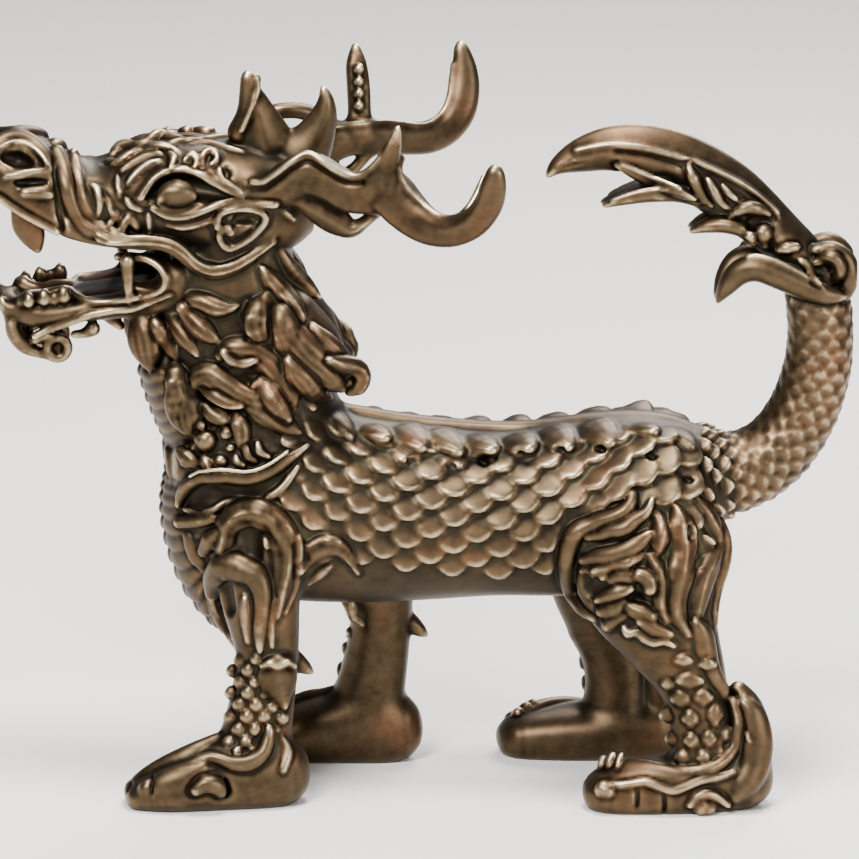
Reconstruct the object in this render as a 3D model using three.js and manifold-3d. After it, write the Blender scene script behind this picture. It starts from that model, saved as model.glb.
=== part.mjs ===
// A cast brass dragon that stands on a tea tray: open jaws, two antlers, a mane of curling locks,
// a scaled body, four walking legs and a scaled tail that ends in a long leaf over the back.
// Millimetres. +Z is up, the head looks along -X, and the near side of the body is at -Y.
// The origin is on the ground, under the middle of the casting's bounding box.
import * as THREE from "three";
import { mergeVertices } from "three/addons/utils/BufferGeometryUtils.js";
import Module from "manifold-3d";

const wasm = await Module();
wasm.setup();

const nearSide = -1;
const farSide = 1;
const headRoll = THREE.MathUtils.degToRad(8); // the head leans over towards the near side
const headAxisHeight = 68; // the roll turns about a line at this height, along X
const farFrontStride = 14.5; // how far back the far front foot stands from the near one
const farHindStride = -8; // how far forward the far hind foot stands from the near one
const bodyScaleLift = 0.7; // how far a body scale's free edge stands proud
const bodyScaleRows = 7; // from the back ridge down to the flank
const bodyScalePitch = 6.4; // between two scales of one row
const tailScaleLift = 0.45;
const ridgeLobes = 9; // scalloped lobes along the spine, each hanging over both flanks
const ridgeLobePitch = 4;
const tailScaleRings = 11;

const towardsSide = (side) => [0, side, 0];
const upwards = [0, 0, 1];

// Turns a closed three.js geometry into a solid.
function solidOf(geometry) {
  const bare = geometry.clone();
  bare.deleteAttribute("normal");
  bare.deleteAttribute("uv");
  const merged = mergeVertices(bare, 1e-4);
  return new wasm.Manifold(
    new wasm.Mesh({
      numProp: 3,
      vertProperties: merged.attributes.position.array,
      triVerts: new Uint32Array(merged.index.array),
    }),
  );
}

function geometryOf(solid) {
  const mesh = solid.getMesh();
  const geometry = new THREE.BufferGeometry();
  geometry.setAttribute("position", new THREE.BufferAttribute(mesh.vertProperties, 3));
  geometry.setIndex(new THREE.BufferAttribute(mesh.triVerts, 1));
  geometry.computeVertexNormals();
  return geometry;
}

// A closed skin through rings of points. A ring of one point is a pointed end, and any other end is
// closed by a fan about its centre.
function skin(rings) {
  const points = [];
  const faces = [];
  const starts = rings.map((ring) => {
    points.push(...ring);
    return points.length - ring.length;
  });
  const closeEnd = (index, flipped) => {
    const ring = rings[index];
    if (ring.length === 1) return;
    const centre = ring.reduce((sum, p) => sum.add(p), new THREE.Vector3()).divideScalar(ring.length);
    points.push(centre);
    ring.forEach((_, i) => {
      const a = starts[index] + i;
      const b = starts[index] + ((i + 1) % ring.length);
      faces.push(flipped ? [points.length - 1, b, a] : [points.length - 1, a, b]);
    });
  };
  for (let r = 0; r + 1 < rings.length; r += 1) {
    const count = Math.max(rings[r].length, rings[r + 1].length);
    for (let i = 0; i < count; i += 1) {
      const next = (i + 1) % count;
      const corner = (ring, k) => starts[ring] + (rings[ring].length === 1 ? 0 : k);
      if (rings[r].length > 1) faces.push([corner(r, i), corner(r, next), corner(r + 1, i)]);
      if (rings[r + 1].length > 1) faces.push([corner(r, next), corner(r + 1, next), corner(r + 1, i)]);
    }
  }
  closeEnd(0, true);
  closeEnd(rings.length - 1, false);
  const volume = faces.reduce((sum, [a, b, c]) => {
    const normal = new THREE.Vector3().crossVectors(points[b], points[c]);
    return sum + points[a].dot(normal);
  }, 0);
  const outward = volume < 0 ? faces.map(([a, b, c]) => [a, c, b]) : faces;
  const geometry = new THREE.BufferGeometry().setFromPoints(points);
  geometry.setIndex(outward.flat());
  return geometry;
}

const roundSection = (sides) =>
  Array.from({ length: sides }, (_, i) => {
    const angle = (2 * Math.PI * (i + 0.5)) / sides;
    return [Math.cos(angle), Math.sin(angle)];
  });

// A section with fuller corners than a round one.
const fullSection = (sides) =>
  roundSection(sides).map(([a, b]) => {
    const reach = (Math.abs(a) ** 3 + Math.abs(b) ** 3) ** (1 / 3);
    return [a / reach, b / reach];
  });

const diamondSection = [[1, 0], [0, 1], [-1, 0], [0, -1]];

// One ring of a sweep: a section laid across the path, with its face turned to the given direction.
function ringAt(station, tangent, facing, section) {
  const [x, y, z, wide, thick] = station;
  const centre = new THREE.Vector3(x, y, z);
  if (wide === 0) return [centre];
  const across = new THREE.Vector3().crossVectors(tangent, facing).normalize();
  const outward = new THREE.Vector3().crossVectors(across, tangent).normalize();
  return section.map(([a, b]) =>
    centre
      .clone()
      .addScaledVector(across, a * wide)
      .addScaledVector(outward, b * thick),
  );
}

// A solid swept through stations [x, y, z, half width, half thickness]. A half width of 0 is a point.
function sweep(stations, { facing = [0, -1, 0], section = diamondSection } = {}) {
  const places = stations.map(([x, y, z]) => new THREE.Vector3(x, y, z));
  const face = new THREE.Vector3(...facing);
  const rings = stations.map((station, i) => {
    const before = places[Math.max(0, i - 1)];
    const after = places[Math.min(places.length - 1, i + 1)];
    const tangent = after.clone().sub(before).normalize();
    return ringAt(station, tangent, face, section);
  });
  return solidOf(skin(rings));
}

// An egg-shaped lump.
function lump([x, y, z], [rx, ry, rz]) {
  const geometry = new THREE.IcosahedronGeometry(1, 0);
  geometry.scale(rx, ry, rz);
  geometry.translate(x, y, z);
  return solidOf(geometry);
}

// Stations written for the outward side, placed on one side of the body.
const onSide = (stations, side) => stations.map(([x, y, z, ...size]) => [x, y * side, z, ...size]);
const sideSweep = (stations, side, options = {}) =>
  sweep(onSide(stations, side), { facing: towardsSide(side), ...options });
const sideLump = ([x, y, z], size, side) => lump([x, y * side, z], size);

// A cord-like rim with a ridge along it: points [x, y, z, radius].
const rim = (points, side) =>
  sideSweep(points.map(([x, y, z, radius]) => [x, y, z, radius, radius]), side);

// Straight-line value between the rows of a table, by their first entry.
function lookUp(table, at) {
  const last = table.length - 1;
  if (at <= table[0][0]) return table[0];
  if (at >= table[last][0]) return table[last];
  const i = table.findIndex((row) => row[0] >= at);
  const share = (at - table[i - 1][0]) / (table[i][0] - table[i - 1][0]);
  return table[i].map((value, k) => THREE.MathUtils.lerp(table[i - 1][k], value, share));
}

// The trunk from the chest to the rump: [x, centre height, half width, half height].
const trunkForm = [
  [-30, 36, 3.5, 5],
  [-28.5, 36.2, 6.5, 8.5],
  [-26, 36, 8.6, 11.2],
  [-21, 35, 9.8, 12.8],
  [-15, 33.8, 10.2, 12.4],
  [-8, 32.8, 10, 11.6],
  [0, 32.4, 9.8, 10.9],
  [8, 32.3, 9.6, 10.3],
  [16, 32.8, 9.8, 10.8],
  [23, 33.6, 10, 10.8],
  [28, 34.4, 9.2, 9.2],
  [31.5, 35, 7.4, 7.2],
  [34, 35.3, 4.4, 4.6],
];

// The trunk's skin at an angle down from the spine, lifted along the surface normal.
function trunkPoint(x, angle, lift) {
  const [, centre, halfWidth, halfHeight] = lookUp(trunkForm, x);
  const normal = new THREE.Vector2(Math.sin(angle) / halfWidth, Math.cos(angle) / halfHeight).normalize();
  const y = halfWidth * Math.sin(angle) + lift * normal.x;
  const z = centre + halfHeight * Math.cos(angle) + lift * normal.y;
  return new THREE.Vector3(x, y, z);
}

// The trunk with rows of overlapping scales: a row starts on the skin, rises to its free edge, and the
// next row starts under that edge. The free edge is scalloped, half a scale further along in each row.
function trunk() {
  const firstRow = THREE.MathUtils.degToRad(26);
  const rowAngle = THREE.MathUtils.degToRad(11.5);
  const step = bodyScalePitch / 2;
  const columns = [-30, -28.5, -26, -21.5];
  for (let x = -16.5; x < 29; x += step) columns.push(x);
  columns.push(31.5, 34);
  const rings = columns.map((x, column) => {
    const scaled = THREE.MathUtils.clamp(Math.min((x + 19) / 3, (31 - x) / 3), 0, 1);
    const half = [[0.0, 0]];
    for (let row = 0; row < bodyScaleRows; row += 1) {
      const scallop = (row + column) % 2 ? 0.3 : -0.3;
      const edge = firstRow + (row + 1 + scallop * scaled) * rowAngle;
      half.push([edge - 0.18 * rowAngle, bodyScaleLift * scaled]);
      half.push([edge, 0]);
    }
    half.push([Math.PI * 0.86, 0]);
    const near = half.map(([angle, lift]) => trunkPoint(x, -angle, lift));
    const far = half.map(([angle, lift]) => trunkPoint(x, angle, lift));
    return [...near, ...far.slice(1).reverse()];
  });
  return solidOf(skin(rings));
}

// The scalloped band over the spine: it widens into a lobe on both flanks and narrows between lobes.
function ridge() {
  const stations = [[-10, 0, trunkPoint(-10, 0, -0.4).z, 0, 0]];
  for (let i = 0; i < ridgeLobes; i += 1) {
    const x = -6.6 + i * ridgeLobePitch;
    const top = (at) => trunkPoint(at, 0, 0).z;
    stations.push([x, 0, top(x) - 2.1, 4, 1.9]);
    stations.push([x + 0.62 * ridgeLobePitch, 0, top(x + 2.4) - 2, 5.6, 2.3]);
  }
  stations.push([30.5, 0, trunkPoint(30.5, 0, -1.6).z, 0, 0]);
  const arched = [[1, -0.7], [0.8, 0.35], [0, 1], [-0.8, 0.35], [-1, -0.7]];
  return sweep(stations, { facing: upwards, section: arched });
}

function neck() {
  const stations = [
    [-19, 0, 34, 10.8, 9.2],
    [-20.4, 0, 42, 11, 9],
    [-21.6, 0, 49, 10, 8.2],
    [-22.6, 0, 55, 9, 7.4],
    [-23.4, 0, 61, 8, 6.8],
    [-23.6, 0, 67, 6.6, 6],
  ];
  return sweep(stations, { section: roundSection(10) });
}

// Plates across the front of the chest and throat.
function chestPlates() {
  const plates = [
    [-30.7, 42, 6.4],
    [-30.9, 37.8, 7],
    [-30.2, 33.6, 7.2],
    [-28.6, 29.6, 6.8],
    [-26.2, 26, 6],
  ];
  return plates.map(([x, z, width]) =>
    sweep(
      [
        [x + 5.4, -width - 0.6, z + 1.2, 0, 0],
        [x + 1.1, -width * 0.6, z + 0.2, 1.6, 1.5],
        [x + 0.2, 0, z - 0.3, 1.8, 1.7],
        [x + 1.1, width * 0.6, z + 0.2, 1.6, 1.5],
        [x + 5.4, width + 0.6, z + 1.2, 0, 0],
      ],
      { facing: [-1, 0, 0.3] },
    ),
  );
}

// Locks of the mane on one side: [x, outward, z, half width, half thickness] from root to tip.
const maneLocks = [
  [[-32, 2.4, 58, 1, 1], [-33.6, 3, 52.6, 1.9, 1.5], [-28.8, 4.4, 45, 0, 0]],
  [[-29.6, 4.8, 59, 1.1, 1], [-30, 6, 54, 1.8, 1.4], [-27.6, 6.4, 49, 0, 0]],
  [[-29, 5.6, 60.6, 1, 1], [-26.6, 7.4, 56.4, 1.6, 1.3], [-23, 7.8, 52.4, 0, 0]],
  [[-18.4, 6.6, 67, 1, 1], [-16.6, 6.4, 62.6, 1.8, 1.4], [-12.8, 5, 58.4, 0, 0]],
  [[-18.6, 6.6, 53, 1.9, 1.4], [-20.2, 7.8, 57, 1.9, 1.5], [-22, 7.8, 60.4, 0, 0]],
  [[-21, 5.6, 62, 1.6, 1.4], [-16.4, 6.4, 56, 2.8, 2.2], [-12.6, 5.4, 51.6, 2.6, 2.4], [-9.2, 4.6, 49.4, 1.4, 1.5],
    [-7.6, 4.4, 50.8, 0, 0]],
  [[-19.4, 7, 56, 1, 1], [-15.6, 6.8, 50.6, 1.9, 1.5], [-10.6, 5.6, 47.4, 0, 0]],
  [[-25.6, 7.6, 52, 1.2, 1.2], [-22.6, 8.6, 54.2, 1.9, 1.6], [-18.8, 8.4, 51.6, 1.9, 1.6], [-16.2, 8.4, 45.8, 0, 0]],
  [[-28, 6.6, 47.6, 1.2, 1.2], [-25.6, 8.2, 50.2, 1.7, 1.5], [-21, 9, 47.8, 1.9, 1.6], [-16.4, 9, 44.4, 0, 0]],
  [[-26.2, 7.6, 39, 1.5, 1.4], [-28.2, 7.2, 44.6, 2, 1.7], [-29.2, 6, 49.6, 1.3, 1.3], [-29.4, 5.6, 53, 0, 0]],
  [[-20, 2.8, 62, 2, 1.6], [-15.6, 3, 57.4, 1.7, 1.5], [-12, 2.8, 56, 0, 0]],
  [[-16.6, 1.8, 56.4, 2, 1.6], [-12.6, 2, 51.8, 1.8, 1.5], [-8.2, 2, 51.2, 0, 0]],
];

function mane(side) {
  const scrolls = [
    sideLump([-26, 7.8, 43.4], [1.8, 1.6, 1.7], side),
    sideLump([-28, 6.8, 40.6], [1.8, 1.6, 1.5], side),
  ];
  const ribs = Array.from({ length: 4 }, (_, i) => {
    const x = -23.4 + i * 2.1;
    return rim([[x, 8.2, 44.2, 0], [x + 0.8, 9.1, 41.8, 0.9], [x + 1.5, 9.4, 39.4, 0]], side);
  });
  return [...maneLocks.map((lock) => sideSweep(lock, side)), ...scrolls, ...ribs];
}

// The raised forms on the shoulder, above the leg's own stride.
const shoulderRims = [
  [[-28.8, 6.8, 35, 0.4], [-26.2, 9, 38.2, 1.5], [-20, 10, 39, 1.5], [-15, 9.6, 42, 0]],
  [[-24.4, 9.6, 29, 0.8], [-24.2, 9.8, 34, 1.2], [-20.6, 10.2, 36.4, 1.2], [-16.6, 10.6, 34, 1.3], [-15.9, 11, 28, 1.3],
    [-17.2, 11.6, 21.4, 0]],
  [[-15.4, 9.8, 37, 0], [-13.8, 10, 31.4, 1.1], [-16.2, 10.8, 20.8, 0]],
];

function frontLeg(side, stride) {
  const strideAt = (z) => stride * THREE.MathUtils.clamp((36 - z) / 15, 0, 1);
  const placed = (stations) => stations.map(([x, y, z, ...size]) => [x + strideAt(z), y, z, ...size]);
  const leg = placed([
    [-20, 6, 36, 5.4, 4],
    [-20, 7, 30, 5.8, 4.4],
    [-19.7, 8.2, 24, 4.7, 4.3],
    [-18.9, 8.8, 17.6, 3.8, 3.5],
    [-19.5, 9.1, 11, 4, 3.3],
    [-20.8, 9.3, 4.6, 4.8, 3.8],
  ]);
  const foot = placed([
    [-15.6, 9.2, 3.9, 2.4, 3],
    [-18, 9.3, 3.7, 3.8, 4.5],
    [-24, 9.8, 3.7, 4.6, 4.6],
    [-30, 10.2, 2.4, 4.8, 3.1],
    [-33.4, 10.3, 1.4, 3.4, 1.8],
  ]);
  const toes = [-1, 0, 1].map((i) =>
    placed([
      [-25, 9.8 + 2.4 * i, 5.8, 1.5, 1.4],
      [-31, 10.1 + 3.1 * i, 3.3, 2, 1.8],
      [-34.2, 10.3 + 3.3 * i, 1.4, 1.3, 1.2],
      [-35.6, 10.4 + 3.4 * i, 0.5, 0, 0],
    ]),
  );
  const innerLeaf = placed([
    [-24.4, 10.2, 27, 1, 1],
    [-21.6, 11.6, 28, 1.8, 1.4],
    [-19.6, 12.2, 24.4, 1.6, 1.2],
    [-19.4, 12, 19.2, 0, 0],
  ]);
  const flame = [
    [-15.4, 9.2, 28, 1.4, 1.3],
    [-12.4, 9.6, 30.6, 1.5, 1.2],
    [-9.2, 9.2, 27.2, 0, 0],
  ];
  const kneePlate = placed([
    [-18.8, 11.6, 20.4, 1.6, 1],
    [-17.6, 12, 17.4, 2.1, 1.1],
    [-17, 11.8, 13.2, 0, 0],
  ]);
  const spur = placed([
    [-17, 8.8, 19.8, 2.2, 1.8],
    [-14.6, 9.2, 16.4, 1.6, 1.4],
    [-13.8, 9.4, 12.6, 0, 0],
  ]);
  return [
    sideSweep(leg, side, { section: roundSection(8) }),
    sideSweep(foot, side, { facing: upwards, section: roundSection(8) }),
    ...toes.map((toe) => sideSweep(toe, side, { facing: upwards })),
    ...shoulderRims.map((points) => rim(placed(points), side)),
    ...[innerLeaf, flame, kneePlate, spur].map((leaf) => sideSweep(leaf, side)),
  ];
}

// The raised forms on the thigh: a C-shaped rim, a leaf under it and a scroll.
const thighRims = [
  [[27, 9, 35.6, 0], [22.4, 11.2, 32, 1.3], [17.2, 11.2, 30.8, 1.4], [15, 10.2, 26.6, 1.3], [18.6, 11, 21.8, 0]],
  [[17.6, 11.6, 23, 0], [20.4, 13, 26.6, 1.4], [24.2, 13.4, 26, 1.4], [22.8, 13, 21.6, 0]],
  [[24.4, 11.8, 33.4, 0], [26.8, 13.2, 27.6, 1.6], [25.4, 13, 21.4, 0]],
  [[27.8, 10.8, 35, 0], [29.6, 12.4, 28, 1.7], [28, 12.6, 20, 0]],
  [[31, 8.6, 35, 0], [32, 10.4, 27.6, 1.6], [30.4, 11.8, 19, 0]],
];

function hindLeg(side, stride) {
  const strideAt = (z) => stride * THREE.MathUtils.clamp((34 - z) / 18, 0, 1);
  const placed = (stations) => stations.map(([x, y, z, ...size]) => [x + strideAt(z), y, z, ...size]);
  const leg = placed([
    [25.6, 4.8, 40.6, 3.6, 2.4],
    [25.2, 5.6, 37.4, 7, 4],
    [24.8, 7.2, 32.4, 8.7, 5],
    [24.9, 8.6, 26.4, 8.8, 5],
    [27, 9.6, 21, 6.4, 4.4],
    [29.8, 10.5, 15.4, 4.4, 3.6],
    [31.1, 11, 10, 3.8, 3.3],
    [31.4, 11, 3.6, 4.4, 3.8],
  ]);
  const foot = placed([
    [38.8, 10.8, 3.8, 2.6, 2.9],
    [36.4, 10.9, 3.1, 4, 3.9],
    [29, 11.2, 2.7, 4.7, 3.7],
    [21.8, 11.5, 2.1, 4.3, 3.2],
    [19.4, 11.5, 1.8, 3, 2],
  ]);
  const heel = placed([
    [36.6, 10.9, 2.4, 2.6, 3],
    [36.9, 10.9, 7.6, 3.1, 2.8],
    [36.6, 10.7, 11.6, 2.2, 2.1],
    [36, 10.6, 13.4, 0, 0],
  ]);
  const toes = [-1, 0, 1].map((i) =>
    placed([
      [28.6, 11 + 2.2 * i, 4.4, 1.4, 1.4],
      [22.4, 11.4 + 3 * i, 4.3, 2, 1.9],
      [18.8, 11.6 + 3.3 * i, 2.2, 1.3, 1.2],
      [17.8, 11.6 + 3.4 * i, 0.6, 0, 0],
    ]),
  );
  return [
    sideSweep(leg, side, { section: roundSection(8) }),
    sideSweep(foot, side, { facing: upwards, section: roundSection(8) }),
    sideSweep(heel, side, { section: roundSection(5) }),
    ...toes.map((toe) => sideSweep(toe, side, { facing: upwards })),
    ...thighRims.map((points) => rim(placed(points), side)),
  ];
}

// The tail's middle line: [x, 0, z, half width, half thickness].
const tailForm = [
  [28, 0, 37, 5, 5.2],
  [33, 0, 36.6, 4.7, 4.8],
  [38.2, 0, 38, 4.3, 4.3],
  [42, 0, 42, 4, 4],
  [44.2, 0, 47.4, 3.8, 3.8],
  [44.9, 0, 52.6, 3.7, 3.7],
  [44.5, 0, 57.2, 3.6, 3.6],
  [44, 0, 60, 2.6, 2.8],
];

// The tail in rings of overlapping scales, each ring half a scale round from the last.
function tail() {
  const line = new THREE.CatmullRomCurve3(tailForm.map(([x, y, z]) => new THREE.Vector3(x, y, z)));
  const rows = tailScaleRings;
  const sides = 8;
  const facing = new THREE.Vector3(0, -1, 0);
  const rings = [];
  for (let row = 0; row < rows; row += 1) {
    for (const [offset, raised] of [[0.02, 0], [0.86, 1]]) {
      const t = Math.min(1, (row + offset) / rows);
      const centre = line.getPoint(t);
      const tangent = line.getTangent(t);
      const [, wide, thick] = lookUp(
        tailForm.map(([, , , w, d], i) => [i / (tailForm.length - 1), w, d]),
        t,
      );
      const lift = raised * tailScaleLift;
      const ring = ringAt([...centre.toArray(), wide + lift, thick + lift], tangent, facing, roundSection(sides));
      const scallop = (i) => (raised && (i + row) % 2 ? 0.5 : -0.2);
      rings.push(ring.map((p, i) => p.addScaledVector(tangent, raised * scallop(i))));
    }
  }
  return solidOf(skin(rings));
}

// The leaf at the tail's end: a long blade with a ridge on each face, barbs under it, and one short
// leaflet below that curls back into a scroll.
function tailLeaf() {
  const blade = sweep(
    [
      [44.2, 0, 58.6, 2.6, 3.2],
      [43.6, 0, 62.6, 2.4, 2.8],
      [39.9, 0, 67.2, 3, 2.7],
      [34.9, 0, 70.9, 3.7, 2.7],
      [28.7, 0, 73.6, 4.1, 2.6],
      [22.4, 0, 75.1, 3.6, 2.3],
      [17, 0, 74.7, 2.9, 1.7],
      [13.8, 0, 73.2, 1.7, 1],
      [12.3, 0, 71.8, 0, 0],
    ],
    { section: [[1, 0], [-0.3, 1], [-1, 0], [-0.3, -1]] },
  );
  const barbs = [
    [[30.4, 0, 70.8, 1.5, 1.5], [25.2, 0, 70, 1.1, 1.2], [21.6, 0, 69.2, 0.9, 0.9], [19.2, 0, 67.8, 0, 0]],
    [[23.6, 0, 70, 0.8, 0.8], [22, 0, 70.6, 0.7, 0.7], [20.4, 0, 71.9, 0, 0]],
    [[35.4, 0, 69, 1.9, 1.6], [32, 0, 67.4, 1.3, 1.2], [29.6, 0, 65.2, 0, 0]],
    [[38.6, 0, 67.4, 1.8, 1.8], [36.4, 0, 65.8, 1.4, 1.6], [34.6, 0, 65.4, 0, 0]],
  ].map((barb) => sweep(barb));
  const leaflet = sweep([
    [46.4, 0, 60.2, 1.4, 3],
    [42, 0, 60.9, 1.9, 3],
    [37.6, 0, 61.4, 1.7, 2.5],
    [34.4, 0, 60.2, 1.2, 1.7],
    [32.4, 0, 57.4, 0, 0],
  ]);
  const scrollSize = [2.1, 3.3, 2.1];
  return [blade, leaflet, ...barbs, lump([46.2, 0, 61.6], scrollSize), lump([40.2, 0, 64], [1.8, 2.7, 1.5])];
}

// Skull, snout and upper jaw: [x, 0, centre height, half width, half height].
const skullForm = [
  [-53, 0, 73.2, 2.4, 1.7],
  [-51.6, 0, 73.2, 4.3, 2.8],
  [-49, 0, 72.8, 5.3, 3.4],
  [-45, 0, 71.7, 5.6, 3.8],
  [-38.6, 0, 70, 5.6, 3.7],
  [-34.4, 0, 70.6, 6.8, 4.8],
  [-29.6, 0, 70.8, 7.5, 5.8],
  [-23, 0, 70, 7.8, 6.3],
  [-17, 0, 69.4, 6.4, 5.4],
  [-14, 0, 69, 3.4, 3],
];

const jawForm = [
  [-50.2, 0, 57.4, 1.8, 0.9],
  [-48.6, 0, 56.2, 3.2, 1.9],
  [-45, 0, 56, 4.2, 2.2],
  [-40.5, 0, 56.8, 4.8, 2],
  [-36, 0, 57.5, 5.2, 2.2],
  [-31.5, 0, 58.8, 6, 2.9],
  [-27, 0, 61.4, 6.6, 4.4],
  [-22, 0, 64, 6.4, 5],
];

// What the head carries on each side, before the head is rolled.
const headRims = [
  [[-44, 3.4, 74.8, 0.6], [-43.3, 5.4, 73.8, 1.1], [-42.4, 6.2, 70.4, 1.1], [-39.6, 6.4, 67.8, 1], [-32.6, 7.2, 66.6, 0.9],
    [-25.4, 8.2, 63, 1.3], [-18.4, 7.4, 67.6, 0]],
  [[-36.6, 4.6, 73, 0.4], [-33.2, 5.6, 75.2, 1.3], [-27, 6.2, 75.8, 1.5], [-22.8, 6.8, 74, 1.4], [-21, 7.4, 71.2, 0]],
  [[-35.4, 6, 71.4, 0], [-31, 7.6, 69.8, 1], [-23.2, 8, 71, 1.1], [-18.8, 7.6, 69.8, 1.1], [-21, 8.2, 67, 1.2],
    [-24.2, 8.6, 68, 0.6]],
  [[-33.6, 6, 67.2, 0.6], [-30.8, 6, 64, 1], [-30.4, 5.6, 61.4, 1], [-32.4, 5, 59, 0.5]],
  [[-52, 2.8, 71.2, 0.6], [-48, 4.8, 69.8, 1], [-43.4, 5.8, 67, 0.5]],
  [[-49.6, 2.4, 57.8, 0.6], [-43.6, 4.4, 57.8, 0.9], [-36, 5.2, 59, 0.5]],
];

const antlerSweeps = [
  [[-21, 4.2, 74, 2.4, 2], [-17, 5.6, 74.4, 2.4, 1.6], [-10.6, 7.2, 74.1, 2.2, 1.4], [-5.7, 9.2, 73, 2.8, 1.5],
    [-2.8, 11.4, 71.5, 2.3, 1.5], [0.6, 14, 70.7, 1.9, 1.5], [3.8, 16.5, 72.9, 1.9, 1.5], [5.4, 18, 77.4, 1.6, 1.3],
    [5, 18.7, 80.8, 0.8, 0.8], [4.8, 18.8, 81.6, 0, 0]],
  [[-6.6, 9, 73.6, 2.3, 1.2], [-6.2, 10.6, 79, 1.4, 1.2], [-5.9, 12.4, 82.8, 0.8, 0.8], [-5.8, 12.7, 83.6, 0, 0]],
];

const earSweep = [
  [-19.4, 5.2, 71.4, 1.2, 1],
  [-14.6, 6.6, 71.2, 1.9, 0.9],
  [-10.4, 7.2, 69.4, 1.7, 0.9],
  [-6, 7.6, 71.6, 0, 0],
];

function headSide(side) {
  const upperTeeth = [
    [-35.2, 4.8, 67.6, 1, 58.2],
    [-47, 3.6, 70.4, 1.5, 64],
  ];
  const lowerTeeth = [
    [-47.4, 2.2, 56.6, 0.9, 60.8],
    [-43.4, 3.2, 57, 0.9, 60.4],
  ];
  const teeth = [...upperTeeth, ...lowerTeeth].map(([x, y, root, radius, tip]) =>
    sideSweep([[x, y, root, radius, radius], [x, y, tip, 0, 0]], side),
  );
  return [
    ...headRims.map((points) => rim(points, side)),
    ...antlerSweeps.map((stations) => sideSweep(stations, side, { section: roundSection(6) })),
    sideSweep(earSweep, side),
    ...teeth,
    sideLump([-43.4, 2, 52.8], [2.2, 1.7, 2.3], side),
    sideLump([-39.2, 2.6, 54.4], [1.5, 1.4, 1.4], side),
  ];
}

function head() {
  const crest = [
    [[-20.6, 0, 73, 4.6, 2.6], [-21.4, 0, 80, 2.7, 1.8], [-22.3, 0, 84.6, 1, 0.9], [-22.6, 0, 85.4, 0, 0]],
    [[-18.4, 0, 71, 4.4, 2.8], [-15.2, 0, 77.4, 3.2, 1.8], [-13.8, 0, 82.6, 1, 0.9], [-13.6, 0, 83.6, 0, 0]],
  ].map((spike) => sweep(spike));
  const tongue = sweep(
    [
      [-27, 0, 61, 3, 1],
      [-35, 0, 60.6, 2.9, 1],
      [-41, 0, 60.2, 2.3, 0.9],
      [-45, 0, 61.4, 0, 0],
    ],
    { facing: upwards },
  );
  const chin = sweep([[-48.2, 0, 57, 1.4, 2.2], [-47.8, 0, 54, 1.8, 2.6], [-45.4, 0, 52.2, 0.9, 1.6]]);
  const skull = sweep(skullForm, { facing: upwards, section: fullSection(10) });
  const jaw = sweep(jawForm, { facing: upwards, section: roundSection(8) });
  const hollows = [nearSide, farSide].flatMap((side) => [
    sideLump([-29, 8.6, 72.8], [5, 2.6, 2.2], side),
    sideLump([-48.8, 5.4, 74], [1.5, 1.6, 1.2], side),
  ]);
  const eyes = [nearSide, farSide].map((side) => sideLump([-30.2, 6.4, 72.3], [2.6, 1.9, 1.7], side));
  const nostrils = [nearSide, farSide].map((side) => sideLump([-49, 3.2, 74], [3, 2.4, 2.2], side));
  const carved = wasm.Manifold.union([skull, ...nostrils]).subtract(wasm.Manifold.union(hollows));
  const whole = wasm.Manifold.union([
    carved,
    ...eyes,
    ...crest,
    tongue,
    chin,
    jaw,
    ...headSide(nearSide),
    ...headSide(farSide),
  ]);
  const degrees = THREE.MathUtils.radToDeg(headRoll);
  return whole
    .translate([0, 0, -headAxisHeight])
    .rotate([degrees, 0, 0])
    .translate([0, 0, headAxisHeight]);
}

function castDragon() {
  const standing = wasm.Manifold.union([
    trunk(),
    neck(),
    head(),
    tail(),
    ...tailLeaf(),
    ...chestPlates(),
    ridge(),
    ...mane(nearSide),
    ...mane(farSide),
    ...frontLeg(nearSide, 0),
    ...frontLeg(farSide, farFrontStride),
    ...hindLeg(nearSide, 0),
    ...hindLeg(farSide, farHindStride),
  ]);
  const ground = new THREE.BoxGeometry(200, 200, 20);
  ground.translate(0, 0, -10);
  const grounded = standing.subtract(solidOf(ground));
  const { min, max } = grounded.boundingBox();
  return grounded.translate([-(min[0] + max[0]) / 2, -(min[1] + max[1]) / 2, 0]);
}

const castBrass = new THREE.MeshStandardMaterial({ color: 0x7a5b3c, roughness: 0.36, metalness: 1 });
const dragonMesh = new THREE.Mesh(geometryOf(castDragon()), castBrass);
dragonMesh.name = "dragon";

const figurine = new THREE.Group();
figurine.add(dragonMesh);

export default figurine;
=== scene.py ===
import math

import bmesh
import bpy
import numpy as np
import openvdb
from mathutils import Matrix, Vector


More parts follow.
